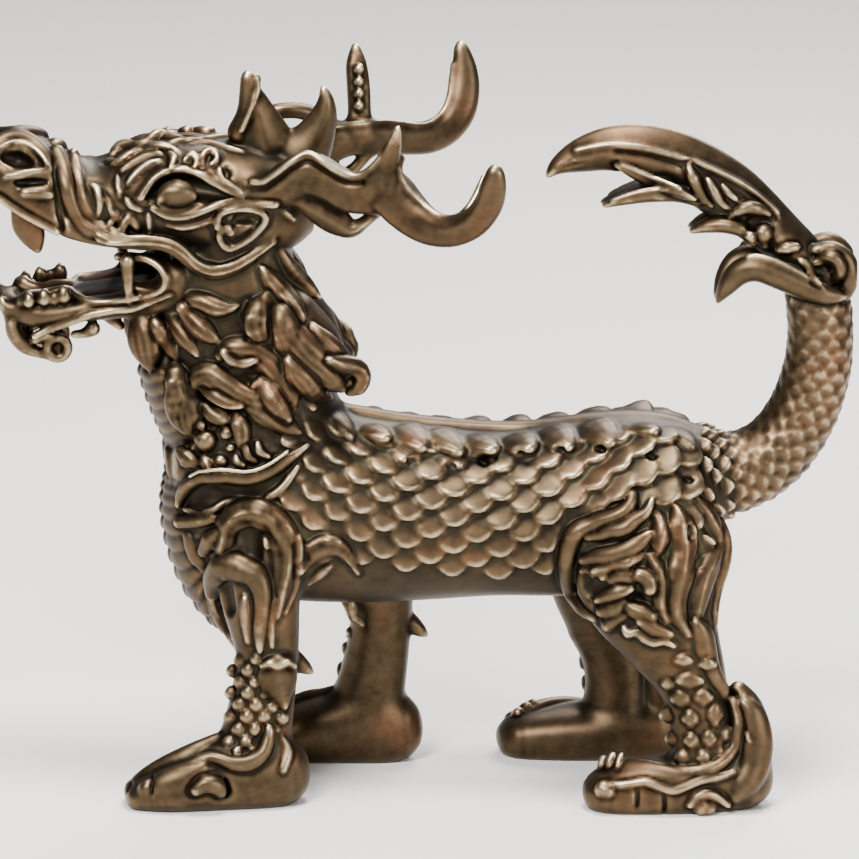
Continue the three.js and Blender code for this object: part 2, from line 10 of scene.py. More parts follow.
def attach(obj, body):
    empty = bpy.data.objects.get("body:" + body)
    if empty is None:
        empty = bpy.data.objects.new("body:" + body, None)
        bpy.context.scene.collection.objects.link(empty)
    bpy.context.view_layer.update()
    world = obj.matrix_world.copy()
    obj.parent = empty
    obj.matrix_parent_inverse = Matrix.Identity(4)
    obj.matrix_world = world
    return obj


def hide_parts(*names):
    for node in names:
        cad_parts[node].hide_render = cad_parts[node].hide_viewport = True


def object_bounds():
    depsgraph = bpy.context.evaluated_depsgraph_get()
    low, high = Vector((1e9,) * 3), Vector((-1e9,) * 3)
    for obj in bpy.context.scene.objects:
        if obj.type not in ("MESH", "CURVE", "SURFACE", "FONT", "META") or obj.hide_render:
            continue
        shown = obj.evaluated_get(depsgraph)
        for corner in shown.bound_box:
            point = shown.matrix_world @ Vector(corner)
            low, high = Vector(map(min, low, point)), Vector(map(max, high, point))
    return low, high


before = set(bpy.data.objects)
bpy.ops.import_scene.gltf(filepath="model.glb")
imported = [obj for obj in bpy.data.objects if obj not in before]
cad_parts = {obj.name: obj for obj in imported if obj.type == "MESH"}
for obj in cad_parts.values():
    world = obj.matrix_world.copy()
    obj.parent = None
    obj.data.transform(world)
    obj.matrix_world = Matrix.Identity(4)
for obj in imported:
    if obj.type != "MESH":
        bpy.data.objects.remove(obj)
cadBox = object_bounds()

# The dragon is sculpted in millimetres in the frame it was measured in: the head looks along -X, the
# near side is -Y. castShift then moves it over the origin, as the CAD solid was moved.
casting = {
    "castShift": (2.1336, 1.6261, 0.0),  # mm
    "low": (-54.0, -21.9, -1.0),         # the block of wax that is carved, mm
    "high": (49.6, 18.6, 86.4),
    "grainMm": 0.24,                     # size of one cell of the wax
    "quickGrainMm": 0.45,
    "reachMm": 3.0,                      # how far from the surface the distances are kept
    "headRollDeg": 8.0,                  # the head leans to the near side
    "headAxisMm": 68.0,
    "farFrontStride": 14.5,
    "farHindStride": -8.0,
}

# How the photograph was taken, so that forms traced on it land where they are seen.
shot = {
    "azimuthDeg": -5.0,
    "elevationDeg": 15.0,
    "rollRad": 0.0227,
    "mmPerPixel": 0.115,
    "groundPixel": 782.0,  # the row in which the ground under the middle lies
    "middle": 430.0,
    "targetMm": (0.0, 0.0, 41.9),
    "distanceMm": 2600.0,
    "widthPixels": 859,
    "sensorMm": 36.0,
}

# How strokes find the skin and lie on it.
stroke = {
    "paceMm": 0.7,         # between the stations that a stroke is drawn through
    "thinnestMm": 0.08,
    "marginMm": 1.1,       # how far round a stroke its distances are worked out
    "slopeStepMm": 0.45,   # over which the skin's slope is read
    "lookMm": 32.0,        # how far before and behind the middle plane the skin is looked for
    "lookStepMm": 0.25,
    "pastMiddleMm": 1.5,   # strokes on the near side don't fall through to the far one beyond this
    "leapPerMm": 1.5,      # how steeply a stroke may rise or drop
    "leapMm": 0.05,
    "leanOut": 0.6,        # how far its face turns outward from the skin's slope
    "farPullMm": 1.2,      # how far the far side's copy may be drawn to its own skin
}


def cameraAxes():
    a, e = math.radians(shot["azimuthDeg"]), math.radians(shot["elevationDeg"])
    back = np.array([math.sin(a) * math.cos(e), -math.cos(a) * math.cos(e), math.sin(e)])
    right = np.array([math.cos(a), math.sin(a), 0.0])
    return right, np.cross(back, right), -back


viewRight, viewUp, viewForward = cameraAxes()


def seen(px, py):  # a place in the photograph, in its pixels, put on the plane through the target
    turned = shot["rollRad"]
    across = (px + turned * (py - shot["middle"]) - shot["middle"]) * shot["mmPerPixel"]
    up = (shot["groundPixel"] - (py - turned * (px - shot["middle"]))) * shot["mmPerPixel"]
    return across * viewRight + up * viewUp


class Wax:
    def __init__(self):
        self.grain = casting["grainMm"]
        self.low = np.array(casting["low"])
        spans = zip(casting["low"], casting["high"])
        self.shape = tuple(int(math.ceil((high - low) / self.grain)) + 1 for low, high in spans)
        self.field = np.full(self.shape, casting["reachMm"], np.float32)

    def window(self, low, high):
        first = np.maximum(np.floor((np.asarray(low) - self.low) / self.grain).astype(int), 0)
        last = np.minimum(np.ceil((np.asarray(high) - self.low) / self.grain).astype(int) + 1, self.shape)
        return first, np.maximum(last, first)

    def axes(self, first, last):
        x, y, z = (
            (self.low[k] + self.grain * np.arange(first[k], last[k])).astype(np.float32) for k in range(3)
        )
        return x[:, None, None], y[None, :, None], z[None, None, :]

    def at(self, points):
        cell = (np.asarray(points, float) - self.low) / self.grain
        cell = np.clip(cell, 0, np.array(self.shape) - 1.001)
        base = cell.astype(int)
        part = cell - base
        total = np.zeros(cell.shape[:-1])
        for dx in (0, 1):
            for dy in (0, 1):
                for dz in (0, 1):
                    weight = np.ones_like(total)
                    for k, d in enumerate((dx, dy, dz)):
                        weight = weight * (part[..., k] if d else 1 - part[..., k])
                    total += weight * self.field[base[..., 0] + dx, base[..., 1] + dy, base[..., 2] + dz]
        return total

    def slope(self, points):
        step = stroke["slopeStepMm"]
        parts = [self.at(points + step * axis) - self.at(points - step * axis) for axis in np.eye(3)]
        normal = np.stack(parts, -1)
        return normal / np.maximum(np.linalg.norm(normal, axis=-1, keepdims=True), 1e-6)


def softMin(a, b, blend):
    if blend <= 0:
        return np.minimum(a, b)
    h = np.maximum(blend - np.abs(a - b), 0) / blend
    return np.minimum(a, b) - h * h * (blend * 0.25)


def cutOf(first, last):
    return tuple(slice(a, b) for a, b in zip(first, last))


def smoothRows(rows, pace=stroke["paceMm"]):
    # stations at an even pace on a smooth curve through the given ones
    rows = np.array(rows, float)
    if len(rows) < 2:
        return rows
    out = []
    for i in range(len(rows) - 1):
        p0, p1, p2, p3 = rows[max(i - 1, 0)], rows[i], rows[i + 1], rows[min(i + 2, len(rows) - 1)]
        count = max(2, int(math.ceil(np.linalg.norm((p2 - p1)[:3]) / pace)))
        for k in range(count):
            t = k / count
            bend, twist = 2 * p0 - 5 * p1 + 4 * p2 - p3, 3 * p1 - p0 - 3 * p2 + p3
            out.append(0.5 * (2 * p1 + (p2 - p0) * t + bend * t * t + twist * t ** 3))
    out.append(rows[-1])
    out = np.array(out)
    out[:, 3:] = np.maximum(out[:, 3:], stroke["thinnestMm"])
    return out


def formAlong(wax, rows, facing, relief=None, power=2.0):
    # the distances to a body of elliptical sections along the stations, flat side to where it faces
    centres, wide, thick = rows[:, :3], rows[:, 3], rows[:, 4]
    facing = np.broadcast_to(np.asarray(facing, float), centres.shape)
    radius = np.maximum(wide, thick) + stroke["marginMm"]
    first, last = wax.window((centres - radius[:, None]).min(0), (centres + radius[:, None]).max(0))
    form = np.full(tuple(last - first), casting["reachMm"], np.float32)
    for i in range(max(1, len(rows) - 1)):
        j = min(i + 1, len(rows) - 1)
        a, b = centres[i], centres[j]
        along = b - a
        length = max(np.linalg.norm(along), 1e-4)
        tangent = along / length if np.linalg.norm(along) > 1e-4 else np.cross(facing[i], (0.3, 0.1, 0.9))
        tangent = tangent / np.linalg.norm(tangent)
        across = np.cross(tangent, (facing[i] + facing[j]) / 2)
        across = across / max(np.linalg.norm(across), 1e-6)
        outward = np.cross(across, tangent)
        r = max(radius[i], radius[j])
        subFirst, subLast = wax.window(np.minimum(a, b) - r, np.maximum(a, b) + r)
        subFirst, subLast = np.maximum(subFirst, first), np.minimum(subLast, last)
        if (subLast <= subFirst).any():
            continue
        x, y, z = wax.axes(subFirst, subLast)
        x, y, z = x - np.float32(a[0]), y - np.float32(a[1]), z - np.float32(a[2])
        dot = lambda v: x * np.float32(v[0]) + y * np.float32(v[1]) + z * np.float32(v[2])
        reached = dot(tangent)
        t = np.clip(reached / np.float32(length), 0, 1)
        w = np.float32(wide[i]) + t * np.float32(wide[j] - wide[i])
        d = np.float32(thick[i]) + t * np.float32(thick[j] - thick[i])
        s, n = dot(across) / w, dot(outward) / d
        end = (reached - t * np.float32(length)) / np.minimum(w, d)
        if power == 2.0:
            k0 = np.sqrt(s * s + n * n + end * end)
            k1 = np.sqrt((s / w) ** 2 + (n / d) ** 2 + (end / np.minimum(w, d)) ** 2)
            f = (k0 - 1) * (k0 + 1e-4) / (k1 + 1e-4)
        else:
            ps, pn, pe = np.abs(s), np.abs(n), np.abs(end)
            k0 = (ps ** power + pn ** power + pe ** power + 1e-9) ** (1 / power)
            steps = (ps ** (power - 1) / w) ** 2, (pn ** (power - 1) / d) ** 2
            steep = np.sqrt(steps[0] + steps[1] + (pe ** (power - 1) / np.minimum(w, d)) ** 2)
            f = (k0 - 1) / (steep * k0 ** (1 - power) + 1e-4)
        if relief is not None:
            f = f + relief(s, n)
        sub = cutOf(subFirst - first, subLast - first)
        np.minimum(form[sub], f, out=form[sub])
    return first, last, form


def addForm(wax, shaped, blend=0.25, gap=0.0, depth=0.0):
    first, last, form = shaped
    cut = cutOf(first, last)
    base = wax.field[cut]
    if gap > 0:
        # a groove along the form's foot, deepest against it
        base = base + np.float32(depth) * np.clip(1 - form / np.float32(gap), 0, 1) ** 2
    wax.field[cut] = softMin(base, form, blend)


def cutForm(wax, shaped, blend=0.25):
    first, last, form = shaped
    cut = cutOf(first, last)
    wax.field[cut] = -softMin(-wax.field[cut], form, blend)


# Where a form sits: on one side of the body, on a leg with its stride, or on the rolled head.
class Seat:
    def __init__(self, rollDeg=0.0, farStride=0.0, strideTop=36.0, strideSpan=15.0):
        self.roll, self.farStride = math.radians(rollDeg), farStride
        self.strideTop, self.strideSpan = strideTop, strideSpan

    def rolled(self, points, angle):
        c, s = math.cos(angle), math.sin(angle)
        y, z = points[..., 1].copy(), points[..., 2] - casting["headAxisMm"]
        points[..., 1], points[..., 2] = y * c - z * s, casting["headAxisMm"] + z * c + y * s
        return points

    def out(self, points, side):
        p = np.array(points, float)
        p[..., 1] = p[..., 1] * side
        if side > 0 and self.farStride:
            p[..., 0] += self.farStride * np.clip((self.strideTop - p[..., 2]) / self.strideSpan, 0, 1)
        return self.rolled(p, self.roll) if self.roll else p

    def back(self, points, side):
        p = np.array(points, float)
        if self.roll:
            p = self.rolled(p, -self.roll)
        p[..., 1] = p[..., 1] * side
        return p

    def turn(self, direction, side):
        if self.farStride:
            return np.array([direction[0], direction[1] * side, direction[2]])
        return self.out(direction, side) - self.out(np.zeros(3), side)


bodySeat = Seat()
headSeat = Seat(rollDeg=casting["headRollDeg"])
frontSeat = Seat(farStride=casting["farFrontStride"], strideTop=36, strideSpan=15)
hindSeat = Seat(farStride=casting["farHindStride"], strideTop=34, strideSpan=18)
sides = (-1, 1)
centred = {"facing": (0, 0, 1), "sidesUsed": (-1,)}  # for forms on the middle line that face up


def sweep(wax, seat, rows, facing=(0, 1, 0), blend=0.25, sidesUsed=sides, cut=False, **options):
    rows = smoothRows(rows)
    relief, power = options.pop("relief", None), options.pop("power", 2.0)
    for side in sidesUsed:
        placed = np.column_stack([seat.out(rows[:, :3], side), rows[:, 3:]])
        shaped = formAlong(wax, placed, seat.turn(facing, side), relief, power)
        if cut:
            cutForm(wax, shaped, blend)
        else:
            addForm(wax, shaped, blend, **options)


def lookUpon(wax, through, farToo=False):
    # where the lines of sight through these points first meet the skin
    steps = np.arange(-stroke["lookMm"], stroke["lookMm"], stroke["lookStepMm"])
    points = through[:, None, :] + steps[None, :, None] * viewForward
    depth = wax.at(points)
    inside = (depth < 0) & ((points[..., 1] < stroke["pastMiddleMm"]) | farToo)
    hit = inside.any(1)
    first = np.argmax(inside, 1)
    rowsAt = np.arange(len(through))
    before = depth[rowsAt, np.maximum(first - 1, 0)]
    after = depth[rowsAt, first]
    share = np.where(before - after > 1e-6, before / np.maximum(before - after, 1e-6), 0)
    reach = steps[np.maximum(first - 1, 0)] + stroke["lookStepMm"] * np.clip(share, 0, 1)
    if not hit.any():
        return through
    if not hit.all():
        reach = np.interp(rowsAt, rowsAt[hit], reach[hit])
    # a stroke that leaves its ground for a moment, at the rim of a hole, is led back to it
    slack = stroke["leapPerMm"] * np.linalg.norm(np.diff(through, axis=0), axis=1) + stroke["leapMm"]
    middle = int(np.argsort(reach)[len(reach) // 2])
    for i in range(middle + 1, len(reach)):
        reach[i] = np.clip(reach[i], reach[i - 1] - slack[i - 1], reach[i - 1] + slack[i - 1])
    for i in range(middle - 1, -1, -1):
        reach[i] = np.clip(reach[i], reach[i + 1] - slack[i], reach[i + 1] + slack[i])
    if len(reach) > 4:
        padded = np.pad(reach, 2, mode="edge")
        reach = (padded[:-4] + 2 * padded[1:-3] + 3 * padded[2:-2] + 2 * padded[3:-1] + padded[4:]) / 9
    return through + reach[:, None] * viewForward


def lay(wax, seat, rows, blend=0.2, sidesUsed=sides, cut=False, lift=0.0, sink=0.25, farToo=False, **options):
    # a stroke traced in the photograph, [px, py, half width, half thickness], laid on the skin or cut in
    rows = smoothRows([[*seen(px, py), *size] for px, py, *size in rows])
    onNear = lookUpon(wax, rows[:, :3], farToo)
    local = seat.back(onNear, -1)
    relief = options.pop("relief", None)
    for side in sidesUsed:
        placed = seat.out(local, side)
        normal = wax.slope(placed)
        if side > 0:
            pull = stroke["farPullMm"]
            placed = placed - normal * np.clip(wax.at(placed), -pull, pull)[:, None]
            normal = wax.slope(placed)
        normal = normal + stroke["leanOut"] * seat.turn((0, 1, 0), side)
        normal = normal / np.linalg.norm(normal, axis=1, keepdims=True)
        shift = lift - sink * rows[:, 4]
        placed = np.column_stack([placed + normal * shift[:, None], rows[:, 3:]])
        shaped = formAlong(wax, placed, normal, relief)
        if cut:
            cutForm(wax, shaped, blend)
        else:
            addForm(wax, shaped, blend, **options)


def loftAlongX(wax, seat, table, power=2.0, blend=0.5):
    # a body of elliptical slices: [x, centre height, half width, half height]
    rows = smoothRows([[r[0], 0, r[1], r[2], r[3]] for r in table], pace=0.6)
    reach = casting["reachMm"]
    low = [rows[:, 0].min() - 1, -rows[:, 3].max() - reach, (rows[:, 2] - rows[:, 4]).min() - reach]
    high = [rows[:, 0].max() + 1, rows[:, 3].max() + reach, (rows[:, 2] + rows[:, 4]).max() + reach]
    first, last = wax.window(low, high)
    x, y, z = wax.axes(first, last)
    if seat.roll:
        c, s = np.float32(math.cos(seat.roll)), np.float32(math.sin(seat.roll))
        axis = np.float32(casting["headAxisMm"])
        y, z = y * c + (z - axis) * s, axis + (z - axis) * c - y * s
    order = np.argsort(rows[:, 0])
    at = lambda k: np.interp(x.ravel(), rows[order, 0], rows[order, k]).astype(np.float32)[:, None, None]
    centre, wide, tall = at(2), at(3), at(4)
    grow = np.gradient((wide * tall).ravel() ** 0.5, wax.grain)
    steep = (1 / np.sqrt(1 + np.clip(grow, -3, 3) ** 2)).astype(np.float32)[:, None, None]
    s, n = np.abs(y) / wide, np.abs(z - centre) / tall
    k0 = (s ** power + n ** power + 1e-9) ** (1 / power)
    slope = np.sqrt((s ** (power - 1) / wide) ** 2 + (n ** (power - 1) / tall) ** 2)
    form = (k0 - 1) / (slope * k0 ** (1 - power) + 1e-4) * steep
    ends = np.maximum(np.float32(rows[:, 0].min()) - x, x - np.float32(rows[:, 0].max()))
    form = np.clip(np.maximum(form, ends), -reach, reach).astype(np.float32)
    addForm(wax, (first, last, form), blend)


# The trunk, [x, centre height, half width, half height], then the neck and the tail, [x, y, z, half
# width, half thickness].
trunkForm = [
    (-30, 36, 3.2, 4.6), (-28.5, 36.2, 6.2, 8.2), (-26, 36, 8.3, 10.9), (-21, 35, 9.4, 12.3), (-15, 33.8, 9.8, 12.0),
    (-8, 32.8, 9.6, 11.2), (0, 32.4, 9.3, 10.5), (8, 32.3, 9.1, 9.9), (16, 32.8, 9.3, 10.4), (23, 33.6, 9.6, 10.4),
    (28, 34.4, 8.9, 8.9), (31.5, 35, 7.1, 6.9), (34, 35.3, 4.2, 4.4),
]
neckForm = [
    (-19, 0, 33, 10.0, 9.0), (-20.4, 0, 42, 10.4, 8.7), (-21.6, 0, 49, 9.4, 7.9), (-22.6, 0, 55, 8.4, 7.0),
    (-23.4, 0, 61, 7.4, 6.5), (-23.6, 0, 68, 6.2, 5.6),
]
tailForm = [
    (26, 0, 36.4, 5.6, 5.6), (33, 0, 36.4, 4.6, 4.6), (38.2, 0, 38, 4.1, 4.1), (42, 0, 42, 3.8, 3.8),
    (44.2, 0, 47.4, 3.65, 3.6), (44.9, 0, 52.6, 3.5, 3.5), (44.5, 0, 57.2, 3.4, 3.4), (44, 0, 60, 2.8, 2.9),
]


def bodyCore(wax):
    loftAlongX(wax, bodySeat, trunkForm, blend=0.4)
    sweep(wax, bodySeat, neckForm, blend=2.0, sidesUsed=(-1,), power=2.2)
    sweep(wax, bodySeat, tailForm, blend=1.6, sidesUsed=(-1,))


# The near legs, [x, y, z, half width, half thickness]. The far ones are their copies in mid-stride.
frontLegForm = [
    (-20, 6, 36, 5.2, 3.6), (-20, 6.8, 30, 5.5, 4.1), (-19.7, 8.0, 24, 4.5, 4.0), (-18.9, 8.7, 17.6, 3.6, 3.3),
    (-19.5, 9.0, 11, 3.8, 3.1), (-20.6, 9.2, 5, 4.4, 3.5),
]
frontFootForm = [
    (-15.9, 9.2, 3.9, 2.2, 2.7), (-18, 9.3, 3.7, 3.6, 4.2), (-24, 9.8, 3.5, 4.4, 4.2), (-30, 10.2, 2.3, 4.6, 2.8),
    (-33.6, 10.3, 1.3, 3.4, 1.5),
]
hindLegForm = [
    (25.6, 4.8, 40.4, 3.4, 2.2), (25.2, 5.5, 37.4, 6.8, 3.7), (24.8, 7.0, 32.4, 8.3, 4.6),
    (24.9, 8.3, 26.4, 8.3, 4.6), (27, 9.4, 21, 6.0, 4.1), (29.8, 10.4, 15.4, 4.1, 3.4), (31.1, 11, 10, 3.5, 3.1),
    (31.4, 11, 4, 4.1, 3.5),
]
hindFootForm = [
    (37.2, 10.8, 3.8, 2.2, 2.4), (35.4, 10.9, 3.1, 3.6, 3.4), (29, 11.2, 2.6, 4.5, 3.4), (21.8, 11.5, 2.1, 4.1, 2.9),
    (19.6, 11.5, 1.8, 3.0, 2.0),
]


def legCores(wax):
    sweep(wax, frontSeat, frontLegForm, blend=1.5, power=2.3)
    sweep(wax, frontSeat, frontFootForm, facing=(0, 0, 1), blend=1.2, power=2.4)
    sweep(wax, hindSeat, hindLegForm, blend=1.5, power=2.2)
    sweep(wax, hindSeat, hindFootForm, facing=(0, 0, 1), blend=1.0, power=2.4)
    heel = [
        (36.4, 10.9, 2.6, 2.6, 2.9), (36.8, 10.9, 7.6, 2.7, 2.6), (36.4, 10.8, 11.4, 2.0, 2.0),
        (35.4, 10.7, 14.0, 0.9, 1.0),
    ]
    sweep(wax, hindSeat, heel, blend=0.8)


def outwardFace(n):
    return np.clip(n * 2, 0, 1)


# Reliefs, only on a form's outward face: strands are lines cut along it, roofed makes a ridge of it.
def strands(count, depth):
    turns = np.float32(math.pi * count)
    return lambda s, n: np.float32(depth) * (0.5 - 0.5 * np.cos(turns * (s + 1))) * outwardFace(n)


def roofed(depth):
    return lambda s, n: np.float32(depth) * np.minimum(np.abs(s), 1.2) * outwardFace(n)


def traced(seat, rows, side=-1):
    # rows seen in the photograph, [px, py, distance from the middle plane, half width, half thickness]
    placed = []
    for px, py, outward, *size in rows:
        start, step = seen(px, py), 10 * viewForward
        y0, y1 = seat.back(start, side)[1], seat.back(start + step, side)[1]
        placed.append([*seat.back(start + step * (outward - y0) / (y1 - y0), side), *size])
    return placed


def around(px, py, radius, size, turnFrom=0, turnTo=360, count=10):
    # stations on an arc in the photograph: degrees run from the right over the top to the left
    rows = []
    for i in range(count + 1):
        a = math.radians(turnFrom + (turnTo - turnFrom) * i / count)
        rows.append((px + radius * math.cos(a), py - radius * math.sin(a), size, size))
    return rows


def atDepth(rows, outward):
    return [(px, py, outward, *size) for px, py, *size in rows]


def evenly(places, wide, thick, right=0, down=0):
    # a stroke of one size through these places, or beside them
    return [(x + right, y + down, wide, thick) for x, y, *_ in places]


# The metal: cast brass, browned and then handled.
brass = {
    "patinaAndShade": "#18110b",      # the brown that heat and tea leave on brass, drawn dark enough to be painted shade where it fills the hollows
    "warmBrown": "#594a37",
    "redBrown": "#644430",    # copper showing where the skin is thin
    "rubbedAndHighlight": "#e4d2ae",      # brass rubbed bare on the high points, drawn pale so that it is also a painted highlight
    # the red skin's rubbed high points, likewise real wear with a painted highlight
    "rubbedRedAndHighlight": "#dfc19c",
    "olive": "#2f2b1c",       # green brown patina in the hollows, also painted shade there
    "roughnessRubbed": 0.24,
    "roughnessPatina": 0.42,
    "sandMm": 0.5,            # the sand of the mould, drawn a little coarse so that it shows
    "sandDepthMm": 0.012,
    "cloudMm": 9.0,           # the size of the clouds in the patina
    "speckMm": 1.4,
    "mottle": 0.28,           # how strongly clouds and specks break up the rubbed places and their painted highlight
    "redClouds": (0.48, 0.68, 0.6),  # where the red skin starts and is full, and how full
    "hollowPatinaAndShade": 0.8,             # how dark the deepest hollows get: patina and painted shade
    "hollowMetallic": 0.85,
    "speckRoughness": 0.12,   # how far specks roughen it
    "sandStrength": 0.5,
}


def linear(hexColour):
    parts = [int(hexColour[i:i + 2], 16) / 255 for i in (1, 3, 5)]
    return (*[c / 12.92 if c <= 0.04045 else ((c + 0.055) / 1.055) ** 2.4 for c in parts], 1.0)


def addNode(tree, kind, sockets=None, **settings):
    # a node with its settings; a socket takes a value, or the output of another node
    node = tree.nodes.new(kind)
    for key, value in settings.items():
        setattr(node, key, value)
    for key, value in (sockets or {}).items():
        if isinstance(value, bpy.types.NodeSocket):
            tree.links.new(value, node.inputs[key])
        else:
            node.inputs[key].default_value = value
    return node


def setStops(node, stops):
    ramp = node.color_ramp
    while len(ramp.elements) < len(stops):
        ramp.elements.new(0.5)
    for element, (place, colour) in zip(ramp.elements, stops):
        element.position = place
        element.color = colour if isinstance(colour, tuple) else (colour, colour, colour, 1)
    return node.outputs["Color"]


def makeCastBrass():
    # Cast brass, browned by heat and tea. To the eye: a brown skin over yellow metal, bare and bright where fingers
    # rub the high points, which is also a painted highlight, and dull, greenish and dark where they never reach,
    # which is patina and painted shade, with the faint grain of the sand it was poured in.
    material = bpy.data.materials.new("cast_brass")
    material.use_nodes = True
    tree = material.node_tree
    shader = tree.nodes["Principled BSDF"]
    place = addNode(tree, "ShaderNodeTexCoord").outputs["Object"]
    noise = lambda sizeMm, detail: addNode(
        tree, "ShaderNodeTexNoise", {"Vector": place, "Scale": 1000 / sizeMm, "Detail": detail, "Roughness": 0.6}
    ).outputs["Fac"]
    clouds, specks, sand = noise(brass["cloudMm"], 4.0), noise(brass["speckMm"], 3.0), noise(brass["sandMm"], 2.0)
    # edge is high on convex places, for rubbed wear and a painted highlight; hollow is high in recesses, for patina
    # and painted shade
    edge = addNode(tree, "ShaderNodeAttribute", attribute_name="edge").outputs["Fac"]
    hollow = addNode(tree, "ShaderNodeAttribute", attribute_name="hollow").outputs["Fac"]
    mottle = addNode(tree, "ShaderNodeMath", {0: clouds, 1: specks}, operation="ADD").outputs[0]
    share = brass["mottle"]
    fewer = addNode(tree, "ShaderNodeMath", {0: mottle, 1: share, 2: -share}, operation="MULTIPLY_ADD").outputs[0]
    wearAndHighlight = addNode(tree, "ShaderNodeMath", {0: edge, 1: fewer}, operation="ADD", use_clamp=True).outputs[0]
    # the skin runs from dark patina and painted shade in the creases to rubbed brass and painted highlight on the
    # ridges
    skins = [
        setStops(
            addNode(tree, "ShaderNodeValToRGB", {"Fac": wearAndHighlight}),
            [(0.05, linear(brass["patinaAndShade"])), (0.42, linear(brass[brown])), (0.85, linear(brass[bright]))],
        )
        for brown, bright in (("warmBrown", "rubbedAndHighlight"), ("redBrown", "rubbedRedAndHighlight"))
    ]
    redFrom, redFull, redMost = brass["redClouds"]
    redder = addNode(
        tree, "ShaderNodeMapRange", {"Value": clouds, "From Min": redFrom, "From Max": redFull, "To Max": redMost}
    ).outputs[0]
    skin = addNode(tree, "ShaderNodeMix", {0: redder, 6: skins[0], 7: skins[1]}, data_type="RGBA").outputs[2]
    # the deepest hollows are coloured as patina and painted shade
    deep = addNode(
        tree, "ShaderNodeMath", {0: hollow, 1: brass["hollowPatinaAndShade"]}, operation="MULTIPLY", use_clamp=True
    ).outputs[0]
    hollowPatinaAndShade = setStops(
        addNode(tree, "ShaderNodeValToRGB", {"Fac": clouds}),
        [(0.4, linear(brass["patinaAndShade"])), (0.62, linear(brass["olive"]))],
    )
    mixed = addNode(tree, "ShaderNodeMix", {0: deep, 6: skin, 7: hollowPatinaAndShade}, data_type="RGBA")
    tree.links.new(mixed.outputs[2], shader.inputs["Base Color"])
    gloss = addNode(
        tree, "ShaderNodeMapRange",
        {"Value": wearAndHighlight, "To Min": brass["roughnessPatina"], "To Max": brass["roughnessRubbed"]},
    ).outputs[0]
    rough = addNode(
        tree, "ShaderNodeMath", {0: specks, 1: brass["speckRoughness"], 2: gloss}, operation="MULTIPLY_ADD"
    ).outputs[0]
    tree.links.new(rough, shader.inputs["Roughness"])
    bare = addNode(
        tree, "ShaderNodeMapRange", {"Value": deep, "To Min": 1.0, "To Max": brass["hollowMetallic"]}
    ).outputs[0]
    tree.links.new(bare, shader.inputs["Metallic"])
    bump = addNode(
        tree, "ShaderNodeBump",
        {"Strength": brass["sandStrength"], "Distance": brass["sandDepthMm"] / 1000, "Height": sand},
    ).outputs["Normal"]
    tree.links.new(bump, shader.inputs["Normal"])
    return material


# Geometry Nodes set one tile on every point: a thin lens with a raised rim. X runs across it, Y out of
# the skin and Z to its free end.
def buildTileTree():
    tree = bpy.data.node_groups.new("skinTiles", "GeometryNodeTree")
    socket = tree.interface.new_socket
    socket("Geometry", in_out="INPUT", socket_type="NodeSocketGeometry")
    plainTile = {
        "Half Width": 2.0, "Half Length": 2.2, "Half Thickness": 0.5, "Rim": 0.2, "Taper": 0.3, "Size Spread": 0.06,
    }
    for name, value in plainTile.items():
        socket(name, in_out="INPUT", socket_type="NodeSocketFloat").default_value = value
    socket("Seed", in_out="INPUT", socket_type="NodeSocketInt").default_value = 7
    socket("Metal", in_out="INPUT", socket_type="NodeSocketMaterial")
    socket("Geometry", in_out="OUTPUT", socket_type="NodeSocketGeometry")
    given = addNode(tree, "NodeGroupInput").outputs
    ball = addNode(tree, "GeometryNodeMeshUVSphere", {"Segments": 10, "Rings": 6, "Radius": 1.0}).outputs["Mesh"]
    place = addNode(tree, "ShaderNodeSeparateXYZ", {0: addNode(tree, "GeometryNodeInputPosition").outputs[0]}).outputs
    maths = lambda operation, *values: addNode(
        tree, "ShaderNodeMath", dict(enumerate(values)), operation=operation
    ).outputs[0]
    narrower = maths("MULTIPLY_ADD", maths("MULTIPLY", place["Z"], given["Taper"]), -1.0, 1.0)
    reach = maths("ADD", maths("MULTIPLY", place["X"], place["X"]), maths("MULTIPLY", place["Z"], place["Z"]))
    flat = maths("MULTIPLY", place["Y"], given["Half Thickness"])
    lifted = maths("MULTIPLY_ADD", maths("SUBTRACT", reach, 0.55), given["Rim"], flat)
    moved = addNode(
        tree, "ShaderNodeCombineXYZ",
        {
            "X": maths("MULTIPLY", maths("MULTIPLY", place["X"], narrower), given["Half Width"]),
            "Y": lifted,
            "Z": maths("MULTIPLY", place["Z"], given["Half Length"]),
        },
    ).outputs[0]
    tile = addNode(tree, "GeometryNodeSetPosition", {"Geometry": ball, "Position": moved}).outputs[0]
    turn = addNode(tree, "GeometryNodeInputNamedAttribute", {"Name": "turn"}, data_type="FLOAT_VECTOR").outputs[0]
    size = addNode(tree, "GeometryNodeInputNamedAttribute", {"Name": "size"}, data_type="FLOAT").outputs[0]
    smallest, largest = (maths(change, 1.0, given["Size Spread"]) for change in ("SUBTRACT", "ADD"))
    spread = addNode(
        tree, "FunctionNodeRandomValue", {2: smallest, 3: largest, "Seed": given["Seed"]}, data_type="FLOAT"
    ).outputs[1]
    placed = addNode(
        tree, "GeometryNodeInstanceOnPoints",
        {
            "Points": given["Geometry"],
            "Instance": tile,
            "Rotation": addNode(tree, "FunctionNodeEulerToRotation", {0: turn}).outputs[0],
            "Scale": maths("MULTIPLY", size, spread),
        },
    ).outputs[0]
    real = addNode(tree, "GeometryNodeRealizeInstances", {0: placed}).outputs[0]
    dressed = addNode(tree, "GeometryNodeSetMaterial", {"Geometry": real, "Material": given["Metal"]}).outputs[0]
    addNode(tree, "NodeGroupOutput", {0: dressed})
    return tree


